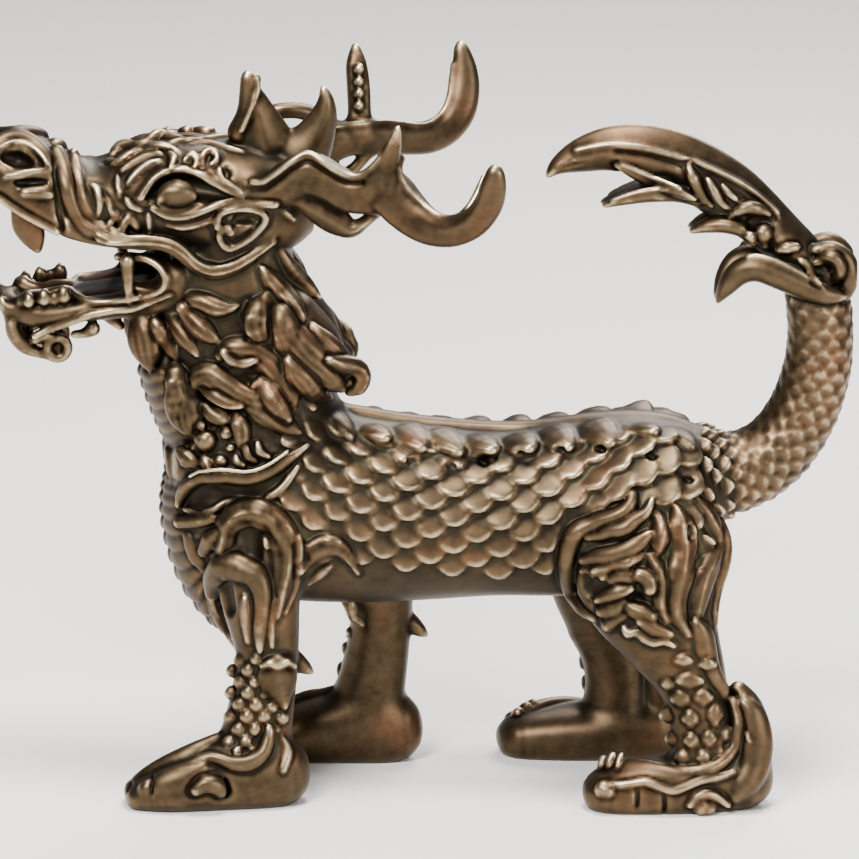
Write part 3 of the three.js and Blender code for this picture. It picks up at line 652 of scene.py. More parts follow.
def tileMesh(tree, metal, points, across, outward, down, sizes, inputs):
    mesh = bpy.data.meshes.new("tilePoints")
    mesh.from_pydata([tuple(p) for p in points], [], [])
    turns = [Matrix((a, n, d)).transposed().to_euler("XYZ")[:] for a, n, d in zip(across, outward, down)]
    turnData = mesh.attributes.new("turn", "FLOAT_VECTOR", "POINT").data
    turnData.foreach_set("vector", np.array(turns, np.float32).ravel())
    mesh.attributes.new("size", "FLOAT", "POINT").data.foreach_set("value", np.array(sizes, np.float32))
    stand = bpy.data.objects.new("tilePoints", mesh)
    bpy.context.scene.collection.objects.link(stand)
    grow = stand.modifiers.new("tiles", "NODES")
    grow.node_group = tree
    named = {s.name: s.identifier for s in tree.interface.items_tree if s.in_out == "INPUT"}
    grow[named["Metal"]] = metal
    for name, value in inputs.items():
        grow[named[name]] = value
    plain = bpy.data.meshes.new_from_object(stand.evaluated_get(bpy.context.evaluated_depsgraph_get()))
    stand.modifiers.remove(grow)
    bpy.data.objects.remove(stand)
    return plain


def settle(wax, points, outward, start=2.5, turns=9):
    # let points sink onto the skin from outside
    placed = points + outward * start
    for _ in range(turns):
        placed = placed - outward * np.clip(wax.at(placed), -1, 3)[:, None] * 0.9
    return placed


def setTiles(wax, skin, points, outward, down, sizes, kind, blend=0.1, sinkMm=0.1):
    # tiles of one kind, set on these points and joined to the wax
    tree, metal = skin
    down = down - outward * (down * outward).sum(1, keepdims=True)
    down = down / np.linalg.norm(down, axis=1, keepdims=True)
    tilt = math.radians(kind["tiltDeg"])
    lifted = down * math.cos(tilt) + outward * math.sin(tilt)
    faced = outward * math.cos(tilt) - down * math.sin(tilt)
    across = np.cross(faced, lifted)
    plain = tileMesh(tree, metal, points - outward * sinkMm, across, faced, lifted, sizes, kind["shape"])
    plain.calc_loop_triangles()
    corners = np.empty(len(plain.vertices) * 3, np.float32)
    plain.vertices.foreach_get("co", corners)
    corners = corners.reshape(-1, 3)
    triangles = np.empty(len(plain.loop_triangles) * 3, np.int32)
    plain.loop_triangles.foreach_get("vertices", triangles)
    bpy.data.meshes.remove(plain)
    first, last = wax.window(corners.min(0) - 1, corners.max(0) + 1)
    origin = wax.low + first * wax.grain
    band = 4  # cells on each side of the skin that hold a distance
    grid = openvdb.FloatGrid.createLevelSetFromPolygons(
        (corners - origin) / wax.grain, triangles=triangles.reshape(-1, 3), halfWidth=band
    )
    form = np.full(tuple(last - first), band, np.float32)
    grid.copyToArray(form)
    addForm(wax, (first, last, form * np.float32(wax.grain)), blend)
    return len(points)


class Strokes:
    # the three ways of working on one part: laid on the skin, pressed into it, grown in the round
    def __init__(self, wax, seat):
        self.wax, self.seat = wax, seat

    def add(self, rows, **options):
        lay(self.wax, self.seat, rows, **options)

    def press(self, rows, sink=0.0, **options):
        lay(self.wax, self.seat, rows, cut=True, sink=sink, **options)

    def grow(self, rows, **options):
        sweep(self.wax, self.seat, traced(self.seat, rows), **options)


# The skull and the lower jaw, [x, centre height, half width, half height].
skullForm = [
    (-52.9, 73.6, 1.6, 1.0), (-52.3, 73.5, 3.4, 2.2), (-51, 73.4, 4.6, 3.1), (-49, 73.0, 5.2, 3.6),
    (-45, 71.9, 5.3, 3.8), (-41.8, 70.7, 5.2, 3.7), (-38.6, 70, 5.4, 3.8), (-34.4, 70.5, 6.4, 5.2),
    (-29.6, 70.6, 7.1, 6.1), (-23, 69.9, 7.4, 6.4), (-17, 69.4, 6.0, 5.5), (-14, 69, 3.4, 3.2),
]
jawForm = [
    (-50.0, 57.3, 1.5, 0.7), (-48.8, 56.4, 2.9, 1.6), (-45, 56, 4.0, 1.9), (-40.5, 56.8, 4.6, 1.8),
    (-36, 57.5, 5.0, 2.0), (-31.5, 58.8, 5.8, 2.8), (-27, 61.4, 6.4, 4.3), (-22, 64, 6.2, 4.9),
]


def headCore(wax):
    loftAlongX(wax, headSeat, skullForm, power=2.5, blend=0.6)
    loftAlongX(wax, headSeat, jawForm, power=2.3, blend=0.6)


# The antlers, [px, py, distance from the middle plane, half width, half thickness], and lines on them.
antlerNear = {
    "beam": [
        (250, 190, 5.0, 1.6, 1.3), (264, 192, 5.6, 2.0, 1.4), (280, 189, 6.2, 2.25, 1.45),
        (295, 181, 6.7, 2.5, 1.45), (312, 176, 7.2, 2.6, 1.45), (332, 184, 7.8, 2.3, 1.4),
        (352, 195, 8.4, 2.35, 1.4), (372, 195, 9.0, 2.6, 1.45), (390, 195, 9.8, 2.75, 1.5),
        (404, 209, 10.6, 2.6, 1.5), (418, 222, 11.6, 2.3, 1.5), (434, 231, 12.9, 2.0, 1.5),
        (454, 233, 14.4, 1.8, 1.5), (474, 225, 15.9, 1.7, 1.45), (488, 208, 17.1, 1.65, 1.4),
        (493, 191, 17.9, 1.5, 1.3), (495, 177, 18.3, 1.0, 0.9), (494, 171, 18.4, 0.4, 0.4),
    ],
    "tine": [
        (382, 190, 9.0, 2.2, 1.3), (388, 168, 9.6, 1.45, 1.1), (394, 149, 10.6, 0.95, 0.8),
        (398.6, 132, 11.6, 0.4, 0.4),
    ],
    "rim": [
        (254, 184), (265, 184), (279, 175), (292, 165), (308, 156), (319, 161), (334, 171), (350, 178),
        (364, 176.5), (378, 165), (389, 148), (396, 137),
    ],
    "inner": [
        (403, 160), (400, 172), (406, 187), (419, 202), (433, 215), (446, 221), (459, 219), (470, 208), (478, 193),
        (484, 179),
    ],
}
antlerFar = {
    "beam": [
        (292, 170, 5.2, 2.0, 1.4), (320, 150, 6.4, 2.3, 1.45), (350, 139, 8.0, 2.1, 1.45),
        (380, 138, 9.6, 2.0, 1.45), (406, 139, 11.2, 1.9, 1.45), (430, 137, 12.8, 1.9, 1.5),
        (448, 127, 14.4, 1.9, 1.5), (460, 110, 15.8, 1.9, 1.45), (465, 88, 17.0, 1.75, 1.4),
        (465, 68, 17.8, 1.4, 1.2), (462, 50, 18.3, 0.9, 0.8), (461, 43, 18.4, 0.4, 0.4),
    ],
    "tine": [
        (360, 132, 8.6, 1.5, 1.3), (360, 112, 9.4, 1.35, 1.2), (359, 88, 10.4, 1.35, 1.2),
        (357, 66, 11.4, 1.2, 1.1), (356, 48, 12.2, 0.5, 0.5),
    ],
    "browTine": [
        (258, 136, 4.2, 1.0, 1.0), (270, 117, 4.8, 0.95, 1.0), (288, 112, 5.4, 0.9, 0.95),
        (308, 114, 6.0, 0.95, 1.0), (326, 124, 6.6, 1.1, 1.1), (340, 138, 7.2, 1.3, 1.2),
    ],
}


def antlers(wax):
    work = Strokes(wax, headSeat)
    for side, antler in ((-1, antlerNear), (1, antlerFar)):
        for rows in antler["beam"], antler["tine"], antler.get("browTine", []):
            if rows:
                sweep(wax, headSeat, traced(headSeat, rows, side), blend=0.9, power=2.6, sidesUsed=(side,))
    work.add(evenly(antlerNear["rim"], 0.42, 0.55), blend=0.15, lift=0.15, sidesUsed=(-1,))
    work.press(evenly(antlerNear["rim"][:-3], 0.3, 0.5, down=8), blend=0.25, sink=-0.15, sidesUsed=(-1,))
    work.add(evenly(antlerNear["inner"], 0.36, 0.5), blend=0.15, lift=0.12, sidesUsed=(-1,))
    farRim = [
        (320, 128), (345, 126), (365, 124), (390, 123), (424, 126), (441, 115), (449, 100), (452, 82), (454, 64),
    ]
    work.add(evenly(farRim, 0.38, 0.5), blend=0.15, lift=0.1, sidesUsed=(-1,), farToo=True)
    for y in (106, 94, 82, 70):
        rows = traced(headSeat, [(359.5, y, 9.6 + (106 - y) * 0.04 - 1.0, 0.75, 0.6)], 1)
        sweep(wax, headSeat, rows, blend=0.1, sidesUsed=(1,), gap=0.6, depth=0.3)


def ears(wax):
    work = Strokes(wax, headSeat)
    ear = [
        (286, 203, 6.0, 0.6, 0.8), (300, 203, 6.4, 1.2, 0.9), (318, 211, 6.9, 1.75, 1.0),
        (336, 222, 7.4, 1.85, 1.0), (352, 231, 7.8, 1.2, 0.9), (366, 224, 8.2, 0.8, 0.75),
        (378, 215, 8.6, 0.7, 0.7), (384, 213, 8.8, 0.3, 0.3),
    ]
    work.grow(ear, blend=0.15, relief=roofed(0.4), gap=0.9, depth=0.6)
    work.add([(284, 212, 0.3, 0.4), (290, 217, 0.4, 0.5), (296, 222, 0.25, 0.3)], blend=0.1, lift=0.1)


def crest(wax):
    work = Strokes(wax, headSeat)
    first = [
        (266, 146, 0, 3.6, 2.2), (262, 128, 0, 2.9, 1.8), (257, 108, 0, 1.9, 1.3), (251, 90, 0, 1.15, 0.8),
        (249, 79, 0, 0.75, 0.6), (248.5, 75, 0, 0.35, 0.35),
    ]
    firstBlade = [(239, 134, 0, 1.2, 1.6), (246, 115, 0, 0.9, 1.2), (249, 95, 0, 0.8, 0.9), (249, 80, 0, 0.6, 0.6)]
    second = [
        (300, 158, 0, 3.9, 2.4), (313, 142, 0, 2.7, 2.0), (324, 120, 0, 1.75, 1.4), (327, 102, 0, 1.0, 0.9),
        (324, 90, 0, 0.45, 0.4),
    ]
    for spike, power in ((first, 1.35), (firstBlade, 2.0), (second, 1.5)):
        work.grow(spike, blend=0.6, power=power, sidesUsed=(-1,))
    ridge = [(243, 133), (246, 126), (254, 107), (259, 90), (257, 79)]
    work.add(evenly(ridge, 0.36, 0.5), blend=0.15, lift=0.15)


def muzzle(wax):
    work = Strokes(wax, headSeat)
    skirt = [
        (-8, 186, 3.6, 1.5, 1.2), (18, 196, 4.0, 1.7, 1.2), (42, 213, 4.5, 1.5, 1.2), (66, 226, 4.9, 1.4, 1.2),
        (95, 236, 5.2, 1.2, 1.1), (130, 243, 5.7, 1.0, 1.1), (165, 246, 6.3, 0.9, 1.0), (186, 255, 6.7, 0.8, 0.9),
        (207, 268, 6.8, 0.5, 0.7),
    ]
    work.grow(skirt, blend=0.8)
    sweep(wax, headSeat, [
        (-50.5, 0, 75.2, 2.4, 1.5), (-47.5, 0, 75.9, 3.4, 1.4), (-44, 0, 74.6, 2.8, 1.2), (-41, 0, 73.4, 1.6, 0.8),
    ], **centred, blend=1.0)
    work.press([(11, 159, 0.8, 1.2), (21, 161, 1.1, 1.7), (31, 165, 0.75, 1.1)], blend=0.3)
    wing = [(-4, 154), (2, 145), (11, 140), (22, 139), (33, 143), (43, 151), (50, 161), (53, 170)]
    work.add(evenly(wing, 1.0, 1.0), blend=0.3, lift=0.1, sink=0.3)
    work.add(evenly(wing[1:-1], 0.3, 0.45, right=1, down=5), blend=0.1, lift=0.25)
    work.add([(8, 179, 0.4, 0.5), (22, 177, 0.6, 0.7), (38, 174, 0.5, 0.6), (49, 174, 0.3, 0.4)], blend=0.25)
    work.press([(20, 186, 0.35, 0.7), (34, 186.5, 0.6, 1.1), (50, 184, 0.3, 0.6)])
    work.add([(28, 195, 0.7, 0.7), (45, 195, 0.85, 0.8), (53, 197, 0.6, 0.6)], lift=0.1)
    lip = [(-6, 196), (4, 201), (18.5, 211), (37, 222), (60, 234)]
    work.add(evenly(lip, 0.5, 0.65), blend=0.15, gap=0.8, depth=0.4)
    lobe = [(25, 214, 3.0, 1.4, 1.0), (30, 226, 3.0, 1.8, 1.15), (36, 239, 3.0, 1.45, 1.0), (40, 250, 3.0, 0.6, 0.6)]
    work.grow(lobe, blend=0.4)
    work.press([(56, 156, 0.3, 0.5), (59, 174, 0.35, 0.7), (61, 200, 0.35, 0.7), (65, 232, 0.3, 0.6)])
    strapA = [(60, 153), (65, 164), (69, 182), (73.5, 203), (81, 219), (95, 231), (117, 239), (136, 242)]
    work.add(evenly(strapA, 1.0, 0.85), blend=0.12, gap=0.8, depth=0.35)
    strapB = [(76, 156), (80, 174), (83, 192), (87, 208), (96, 220), (110, 229), (126, 235)]
    work.add(evenly(strapB, 0.62, 0.6), blend=0.12, gap=0.7, depth=0.35)


def lipsAndCheek(wax):
    work = Strokes(wax, headSeat)
    lip = [
        (100, 239), (110, 241.5), (122, 242), (140, 241.5), (156, 242), (172, 245), (186, 254), (199, 266),
        (213, 271.5), (231, 269), (251, 258.5), (275, 241),
    ]
    wide = lambda x: float(np.interp(x, (98, 150, 215, 255, 276), (0.3, 0.85, 1.05, 0.75, 0.4)))
    work.add([(x, y + 2.2, wide(x), 0.5 + 0.35 * wide(x)) for x, y in lip], gap=0.7, depth=0.4, sink=0.3)
    work.add(evenly(lip, 0.3, 0.45, down=-2.5), blend=0.08, lift=0.12)
    work.add(evenly(lip[1:], 0.26, 0.4, down=3.2), blend=0.08, lift=0.12)
    scroll = [
        (219, 229), (221, 217), (232, 211.5), (250, 210.5), (265, 215), (266, 224), (256, 236), (243, 245),
        (230, 250), (222, 243), (221.5, 233), (230, 229),
    ]
    work.press([(240, 222, 0.6, 0.9), (252, 221, 0.7, 1.2), (258, 222, 0.4, 0.8)])
    work.add(evenly(scroll, 0.5, 0.65), blend=0.12, gap=0.8, depth=0.6, lift=0.1)
    work.add([(232, 233, 0.7, 0.75)], blend=0.1, lift=0.25)
    lid = [(155, 210), (170, 218), (187, 218.5), (203, 213.5), (222, 206), (236, 203.5), (258, 206), (277, 206.5)]
    work.add(evenly(lid, 0.5, 0.65), blend=0.12, gap=0.64, depth=0.4, lift=0.1)
    work.add([(160, 204, 0.3, 0.5), (170, 211, 0.4, 0.6), (187, 212, 0.4, 0.6), (203, 207, 0.3, 0.4)], blend=0.15)
    work.add([
        (170, 227, 0.3, 0.45), (186, 229.5, 0.42, 0.6), (206, 225, 0.35, 0.5), (221, 220, 0.25, 0.35),
    ], blend=0.12)
    work.add([(151, 217, 0.3, 0.55), (151.5, 234, 0.4, 0.7)], blend=0.12, gap=0.64, depth=0.3)


def eyes(wax):
    work = Strokes(wax, headSeat)
    socket = [
        (148, 199, 0.5, 1.0), (161, 193, 1.25, 2.0), (180, 190, 1.65, 2.5), (204, 193, 1.45, 2.4),
        (224, 197, 0.9, 1.8), (242, 199, 0.3, 0.6),
    ]
    work.press(socket, sink=-0.1, blend=0.3)
    dome = [
        (163, 204, 0.5, 0.8), (169, 202, 1.15, 1.4), (178.5, 200.5, 1.6, 1.8), (188, 202, 1.15, 1.4),
        (194, 204, 0.5, 0.8),
    ]
    work.add(dome, blend=0.05, lift=1.2, sink=0.0)
    upper = [(143, 199), (150, 188), (160, 178), (177.5, 171.5), (197, 174.5), (219, 185.5), (243, 198)]
    work.add(evenly(upper, 0.55, 0.75), lift=0.1)
    hole = [(228.4, 172), (229.5, 177)]
    work.press(evenly(hole, 0.4, 0.9))
    work.add([
        (221, 170, 0.28, 0.4), (223, 180, 0.34, 0.5), (232, 187, 0.36, 0.5), (243, 194, 0.3, 0.4),
    ], blend=0.1, lift=0.1)


def brows(wax):
    work = Strokes(wax, headSeat)
    lines = [
        [
            (109, 165.5, 0.3, 0.4), (118, 152.5, 0.55, 0.6), (133, 145, 0.6, 0.6), (148, 141, 0.6, 0.6),
            (167, 138, 0.6, 0.6), (185, 141, 0.5, 0.5), (200, 140, 0.4, 0.5), (214, 145, 0.25, 0.3),
        ],
        [
            (114, 167, 0.3, 0.4), (129, 158, 0.5, 0.6), (146, 150, 0.55, 0.6), (161, 147.5, 0.55, 0.6),
            (176, 152, 0.4, 0.5), (184, 158, 0.2, 0.3),
        ],
        [
            (120, 176, 0.3, 0.4), (133, 166, 0.5, 0.6), (147, 159, 0.55, 0.6), (161, 155.5, 0.4, 0.5),
            (168, 158, 0.2, 0.3),
        ],
        [(129, 187, 0.25, 0.4), (138, 176, 0.5, 0.6), (151, 166, 0.5, 0.6), (163, 162, 0.25, 0.3)],
        [(188, 147, 0.25, 0.3), (206, 144.5, 0.4, 0.5), (226, 149, 0.45, 0.5), (246, 154, 0.3, 0.4)],
    ]
    for line in lines:
        work.add(line, blend=0.1, gap=0.58, depth=0.35, lift=0.05)
    curls = [
        [(171, 155, 0.3, 0.4), (176, 162, 0.55, 0.75), (173, 170, 0.3, 0.4)],
        [(186, 164, 0.25, 0.35), (192, 157, 0.5, 0.7), (199, 161, 0.5, 0.7), (197, 170, 0.3, 0.4)],
        [
            (204, 170, 0.25, 0.35), (203, 160, 0.45, 0.65), (209, 153.5, 0.5, 0.7), (217, 156, 0.5, 0.7),
            (218, 164, 0.4, 0.6), (212, 166, 0.25, 0.4),
        ],
    ]
    for curl in curls:
        work.add(curl, blend=0.08, gap=0.64, depth=0.45, lift=0.2)
    folds = [
        [(93, 186, 0.25, 0.35), (99, 191, 0.5, 0.65), (103, 203, 0.55, 0.7), (101, 217, 0.3, 0.4)],
        [(119.5, 176, 0.2, 0.3), (120, 187, 0.35, 0.5), (123, 200, 0.25, 0.35)],
        [(112, 226, 0.4, 0.5), (118, 216, 0.6, 0.7), (124, 228, 0.6, 0.7)],
        [(125, 229, 0.6, 0.7), (131, 219, 0.6, 0.7), (139, 230, 0.5, 0.6)],
        [(107, 199, 0.2, 0.3), (112, 207, 0.35, 0.5), (114, 218, 0.2, 0.3)],
        [(128, 200, 0.2, 0.3), (133, 208, 0.4, 0.5), (144, 213, 0.25, 0.35)],
    ]
    for fold in folds:
        work.add(fold, blend=0.12, gap=0.58, depth=0.4, lift=0.05)


def mouth(wax):
    work = Strokes(wax, headSeat)
    cheek = [
        (133, 270, 3.6, 1.8, 1.3), (148, 274, 4.0, 2.6, 1.5), (160, 280, 4.4, 2.6, 1.6), (178, 284, 4.8, 2.4, 1.8),
    ]
    work.grow(cheek, blend=0.5)
    sweep(wax, headSeat, [
        (-47.2, 0, 58.3, 1.6, 1.0), (-44, 0, 59.0, 2.6, 1.9), (-38, 0, 59.8, 3.2, 2.2), (-31, 0, 61.2, 3.6, 2.2),
    ], **centred, cut=True, blend=0.4)
    corner = [(119, 258), (130, 257), (148, 260), (162, 269), (167.5, 281), (163.5, 291), (151, 297), (137, 299)]
    work.press([(128, 276, 1.3, 2.6), (146, 278, 1.5, 2.6), (154, 280, 1.1, 1.8)])
    work.add(evenly(corner, 0.5, 0.6), blend=0.15, lift=0.1)
    fang = [
        (129.5, 262, 5.0, 0.85, 0.85), (130, 280, 5.1, 0.72, 0.72), (131, 297, 5.1, 0.5, 0.5),
        (132.5, 310, 5.0, 0.2, 0.2),
    ]
    work.grow(fang, blend=0.15)
    sweep(wax, headSeat, [
        (-27, 0, 59.4, 3, 1.2), (-35, 0, 58.4, 2.5, 0.9), (-41, 0, 57.8, 1.9, 0.7), (-44.5, 0, 58.0, 0.8, 0.4),
    ], **centred, relief=strands(1, 0.25))
    hook = [(26, 303, 2.2, 0.8, 0.8), (15, 310, 2.2, 0.8, 0.8), (6, 307, 2.1, 0.65, 0.65), (3.5, 297, 2.0, 0.25, 0.3)]
    work.grow(hook, blend=0.3)
    lipTop = [
        (22, 303, 0.5, 0.6), (29, 296.5, 0.65, 0.7), (46, 295, 0.7, 0.7), (68, 292, 0.75, 0.8), (79, 298, 0.5, 0.6),
        (95, 303, 0.4, 0.5), (115, 302.5, 0.4, 0.5), (138, 299, 0.4, 0.5),
    ]
    work.add(lipTop, lift=0.15)
    for x, y, r in ((46, 294, 0.85), (66, 291, 0.9), (31, 297, 0.7), (56, 295, 0.6)):
        work.grow([(x, y + 6, 3.4, r, r), (x, y, 3.3, r * 0.7, r * 0.7)], blend=0.3)
    work.add([
        (36, 338, 0.4, 0.5), (55, 329, 0.55, 0.6), (77, 321.5, 0.55, 0.6), (95, 315.5, 0.5, 0.5),
        (118, 312, 0.4, 0.4), (134, 311, 0.4, 0.4), (154, 303, 0.4, 0.5), (173, 296, 0.3, 0.4),
    ], blend=0.12, gap=0.64, depth=0.4)
    chin = [
        (13, 320, 2.2, 0.7, 1.2), (16, 333, 2.0, 0.95, 1.3), (26, 346, 1.6, 0.9, 1.3), (40, 353, 1.6, 0.6, 1.0),
        (50, 356, 1.7, 0.5, 0.8),
    ]
    work.grow(chin, blend=0.4)
    curl = [
        (37, 339, 2.0, 0.7, 0.9), (46, 335, 2.1, 0.7, 0.9),
        *atDepth(around(59, 348.5, 10.5, 0.6, 120, -240, 12), 2.1),
    ]
    work.grow(curl, blend=0.15)
    work.grow([(59, 348.5, 1.2, 1.2, 0.8)], blend=0.1)
    work.grow([(76, 335, 2.4, 0.5, 0.6), (86, 334, 2.6, 0.6, 0.7), (94, 329.5, 2.7, 0.95, 0.95)], blend=0.2)
    work.grow([(112, 318, 2.8, 0.8, 1.0), (122, 327, 2.8, 0.55, 0.6)], blend=0.3)


def carveHead(wax):
    headCore(wax)
    ears(wax)
    crest(wax)
    antlers(wax)
    muzzle(wax)
    mouth(wax)
    eyes(wax)
    brows(wax)
    lipsAndCheek(wax)
    print("head carved")


# The scales of the body, the lobes along the back and the scales of the tail.
bodyScales = {
    "fromMm": -22.0,
    "toMm": 32.0,
    "pitchMm": 5.4,       # along the body
    "rowMm": 1.62,        # from row to row down the flank, every other row half a pitch on
    "firstRowMm": 5.2,    # measured from the spine
    "rows": 10,
    "tiltDeg": 19.0,
    "leanDeg": ((-22, -16, 0, 12, 24, 32), (-42, -35, 0, 16, 45, 60)),  # toward the tail, along the body
    "sizeAlong": ((-22, -8, 10, 24, 32), (0.9, 0.93, 1.0, 1.12, 1.0)),
    "sizeByRow": ((0, 2, 8, 10), (0.95, 1, 1, 0.85)),
    "shape": {
        "Half Width": 2.3, "Half Length": 1.8, "Half Thickness": 0.55, "Rim": 0.2, "Taper": 0.28,
        "Size Spread": 0.05, "Seed": 11,
    },
}
backLobes = {
    "places": (-13.6, -9.8, -6.0, -1.9, 2.2, 6.1, 10.6, 15.0, 19.8, 25.0, 29.4),  # their tips along the body, mm
    "awayFromSpineMm": 4.3,
    "rootAheadMm": 0.6,    # how far their middle lies before the tip's place
    "pointsTo": (0.45, 0.8, -0.35),  # backward, outward and down
    "tiltDeg": 15.0,
    "sizeAlong": ((-14, -6, 0, 20, 24, 30), (0.75, 0.85, 1.0, 1.03, 0.85, 0.85)),
    "shape": {
        "Half Width": 2.5, "Half Length": 3.4, "Half Thickness": 1.1, "Rim": 0.0, "Taper": 0.42,
        "Size Spread": 0.04, "Seed": 5,
    },
}
tailScales = {
    "pitchMm": 2.3,
    "rowMm": 1.25,
    "fromMm": 5.2,        # where the scales begin and end, along the tail
    "beforeEndMm": 0.4,
    "fewest": 6,          # round the tail
    "seekFromMm": 1.2,    # how far outside the skin is looked for
    "tiltDeg": 14.0,
    "shape": {
        "Half Width": 1.3, "Half Length": 1.35, "Half Thickness": 0.36, "Rim": 0.12, "Taper": 0.25,
        "Size Spread": 0.05, "Seed": 3,
    },
}


def flankPoint(x, arc):
    # a point of the trunk's slice at x, this far from the spine along the skin of the near side
    table = np.array(trunkForm)
    centre, wide, tall = (np.interp(x, table[:, 0], table[:, k]) for k in (1, 2, 3))
    a = np.linspace(0, math.pi, 181)
    curve = np.stack([-wide * np.sin(a), centre + tall * np.cos(a)], 1)
    run = np.concatenate([[0], np.cumsum(np.linalg.norm(np.diff(curve, axis=0), axis=1))])
    at = np.interp(arc, run, a)
    out = np.array([0, -math.sin(at) / wide, math.cos(at) / tall])
    return np.array([x, -wide * math.sin(at), centre + tall * math.cos(at)]), out / np.linalg.norm(out)


def onSide(v, side):
    return v if side < 0 else v * np.array([1, -1, 1])


def coverBody(wax, skin):
    points, outs, downs, sizes = [], [], [], []
    for row in range(bodyScales["rows"]):
        arc = bodyScales["firstRowMm"] + row * bodyScales["rowMm"]
        x = bodyScales["fromMm"] + (0.5 * bodyScales["pitchMm"] if row % 2 else 0)
        while x < bodyScales["toMm"]:
            point, out = flankPoint(x, arc)
            lean = math.radians(np.interp(x, *bodyScales["leanDeg"]))
            straight = np.cross((1, 0, 0), out)
            straight = straight if straight[2] < 0 else -straight
            down = straight * math.cos(lean) + np.array([1, 0, 0]) * math.sin(lean)
            points.append(point)
            outs.append(out)
            downs.append(down)
            sizes.append(np.interp(x, *bodyScales["sizeAlong"]) * np.interp(row, *bodyScales["sizeByRow"]))
            x += bodyScales["pitchMm"]
    total = 0
    for side in sides:
        p, n, d = (np.array([onSide(v, side) for v in values]) for values in (points, outs, downs))
        p = settle(wax, p, n)
        total += setTiles(wax, skin, p, wax.slope(p), d, sizes, bodyScales, sinkMm=0.05)
    print("body scales:", total)


def coverBack(wax, skin):
    for side in sides:
        points, outs, downs = [], [], []
        for x in backLobes["places"]:
            point, out = flankPoint(x - backLobes["rootAheadMm"], backLobes["awayFromSpineMm"])
            points.append(onSide(point, side))
            outs.append(onSide(out, side))
            downs.append(backLobes["pointsTo"] * np.array([1, side, 1]))
        p = settle(wax, np.array(points), np.array(outs))
        sizes = np.interp(backLobes["places"], *backLobes["sizeAlong"])
        setTiles(wax, skin, p, wax.slope(p), np.array(downs), sizes, backLobes, sinkMm=0.2)
    # the pits under their tips, and the cord that runs between the two rows
    tips = [(413, 461), (451, 465), (483, 461), (523.5, 454), (560, 450), (600, 448), (651, 455), (688, 478)]
    for x, y in tips:
        lay(wax, bodySeat, [(x - 2, y + 1, 0.4, 0.8), (x + 2, y + 2, 0.45, 0.9)], cut=True, sink=0, blend=0.1)
    cord = [
        (-16, 0, 45.6, 0.9, 0.6), (-8, 0, 44.1, 1.2, 0.6), (0, 0, 42.9, 1.2, 0.6), (10, 0, 42.3, 1.2, 0.6),
        (20, 0, 43.4, 1.2, 0.6), (27, 0, 43.2, 1.2, 0.6), (32, 0, 41.3, 0.8, 0.5),
    ]
    sweep(wax, bodySeat, cord, **centred, blend=0.4)
    print("back lobes:", 2 * len(backLobes["places"]))


def coverTail(wax, skin):
    rows = smoothRows(tailForm, pace=0.2)
    run = np.concatenate([[0], np.cumsum(np.linalg.norm(np.diff(rows[:, :3], axis=0), axis=1))])
    points, outs, downs = [], [], []
    reach, step = tailScales["fromMm"], 0
    while reach < run[-1] - tailScales["beforeEndMm"]:
        x, z, wide = (np.interp(reach, run, rows[:, k]) for k in (0, 2, 3))
        ahead = [np.interp(reach + 0.5, run, rows[:, k]) - np.interp(reach - 0.5, run, rows[:, k]) for k in (0, 2)]
        tangent = np.array([ahead[0], 0, ahead[1]]) / math.hypot(*ahead)
        count = max(tailScales["fewest"], 2 * round(math.pi * wide / tailScales["pitchMm"]))
        for i in range(count):
            a = 2 * math.pi * (i + 0.5 * (step % 2)) / count
            out = np.array([0, -1, 0]) * math.cos(a) + np.cross(tangent, (0, -1, 0)) * math.sin(a)
            points.append(np.array([x, 0, z]) + out * wide)
            outs.append(out)
            downs.append(tangent)
        reach += tailScales["rowMm"]
        step += 1
    p, n, d = np.array(points), np.array(outs), np.array(downs)
    p = settle(wax, p, n, start=tailScales["seekFromMm"])
    total = setTiles(wax, skin, p, n, d, np.ones(len(p)), tailScales, sinkMm=0.05)
    print("tail scales:", total)


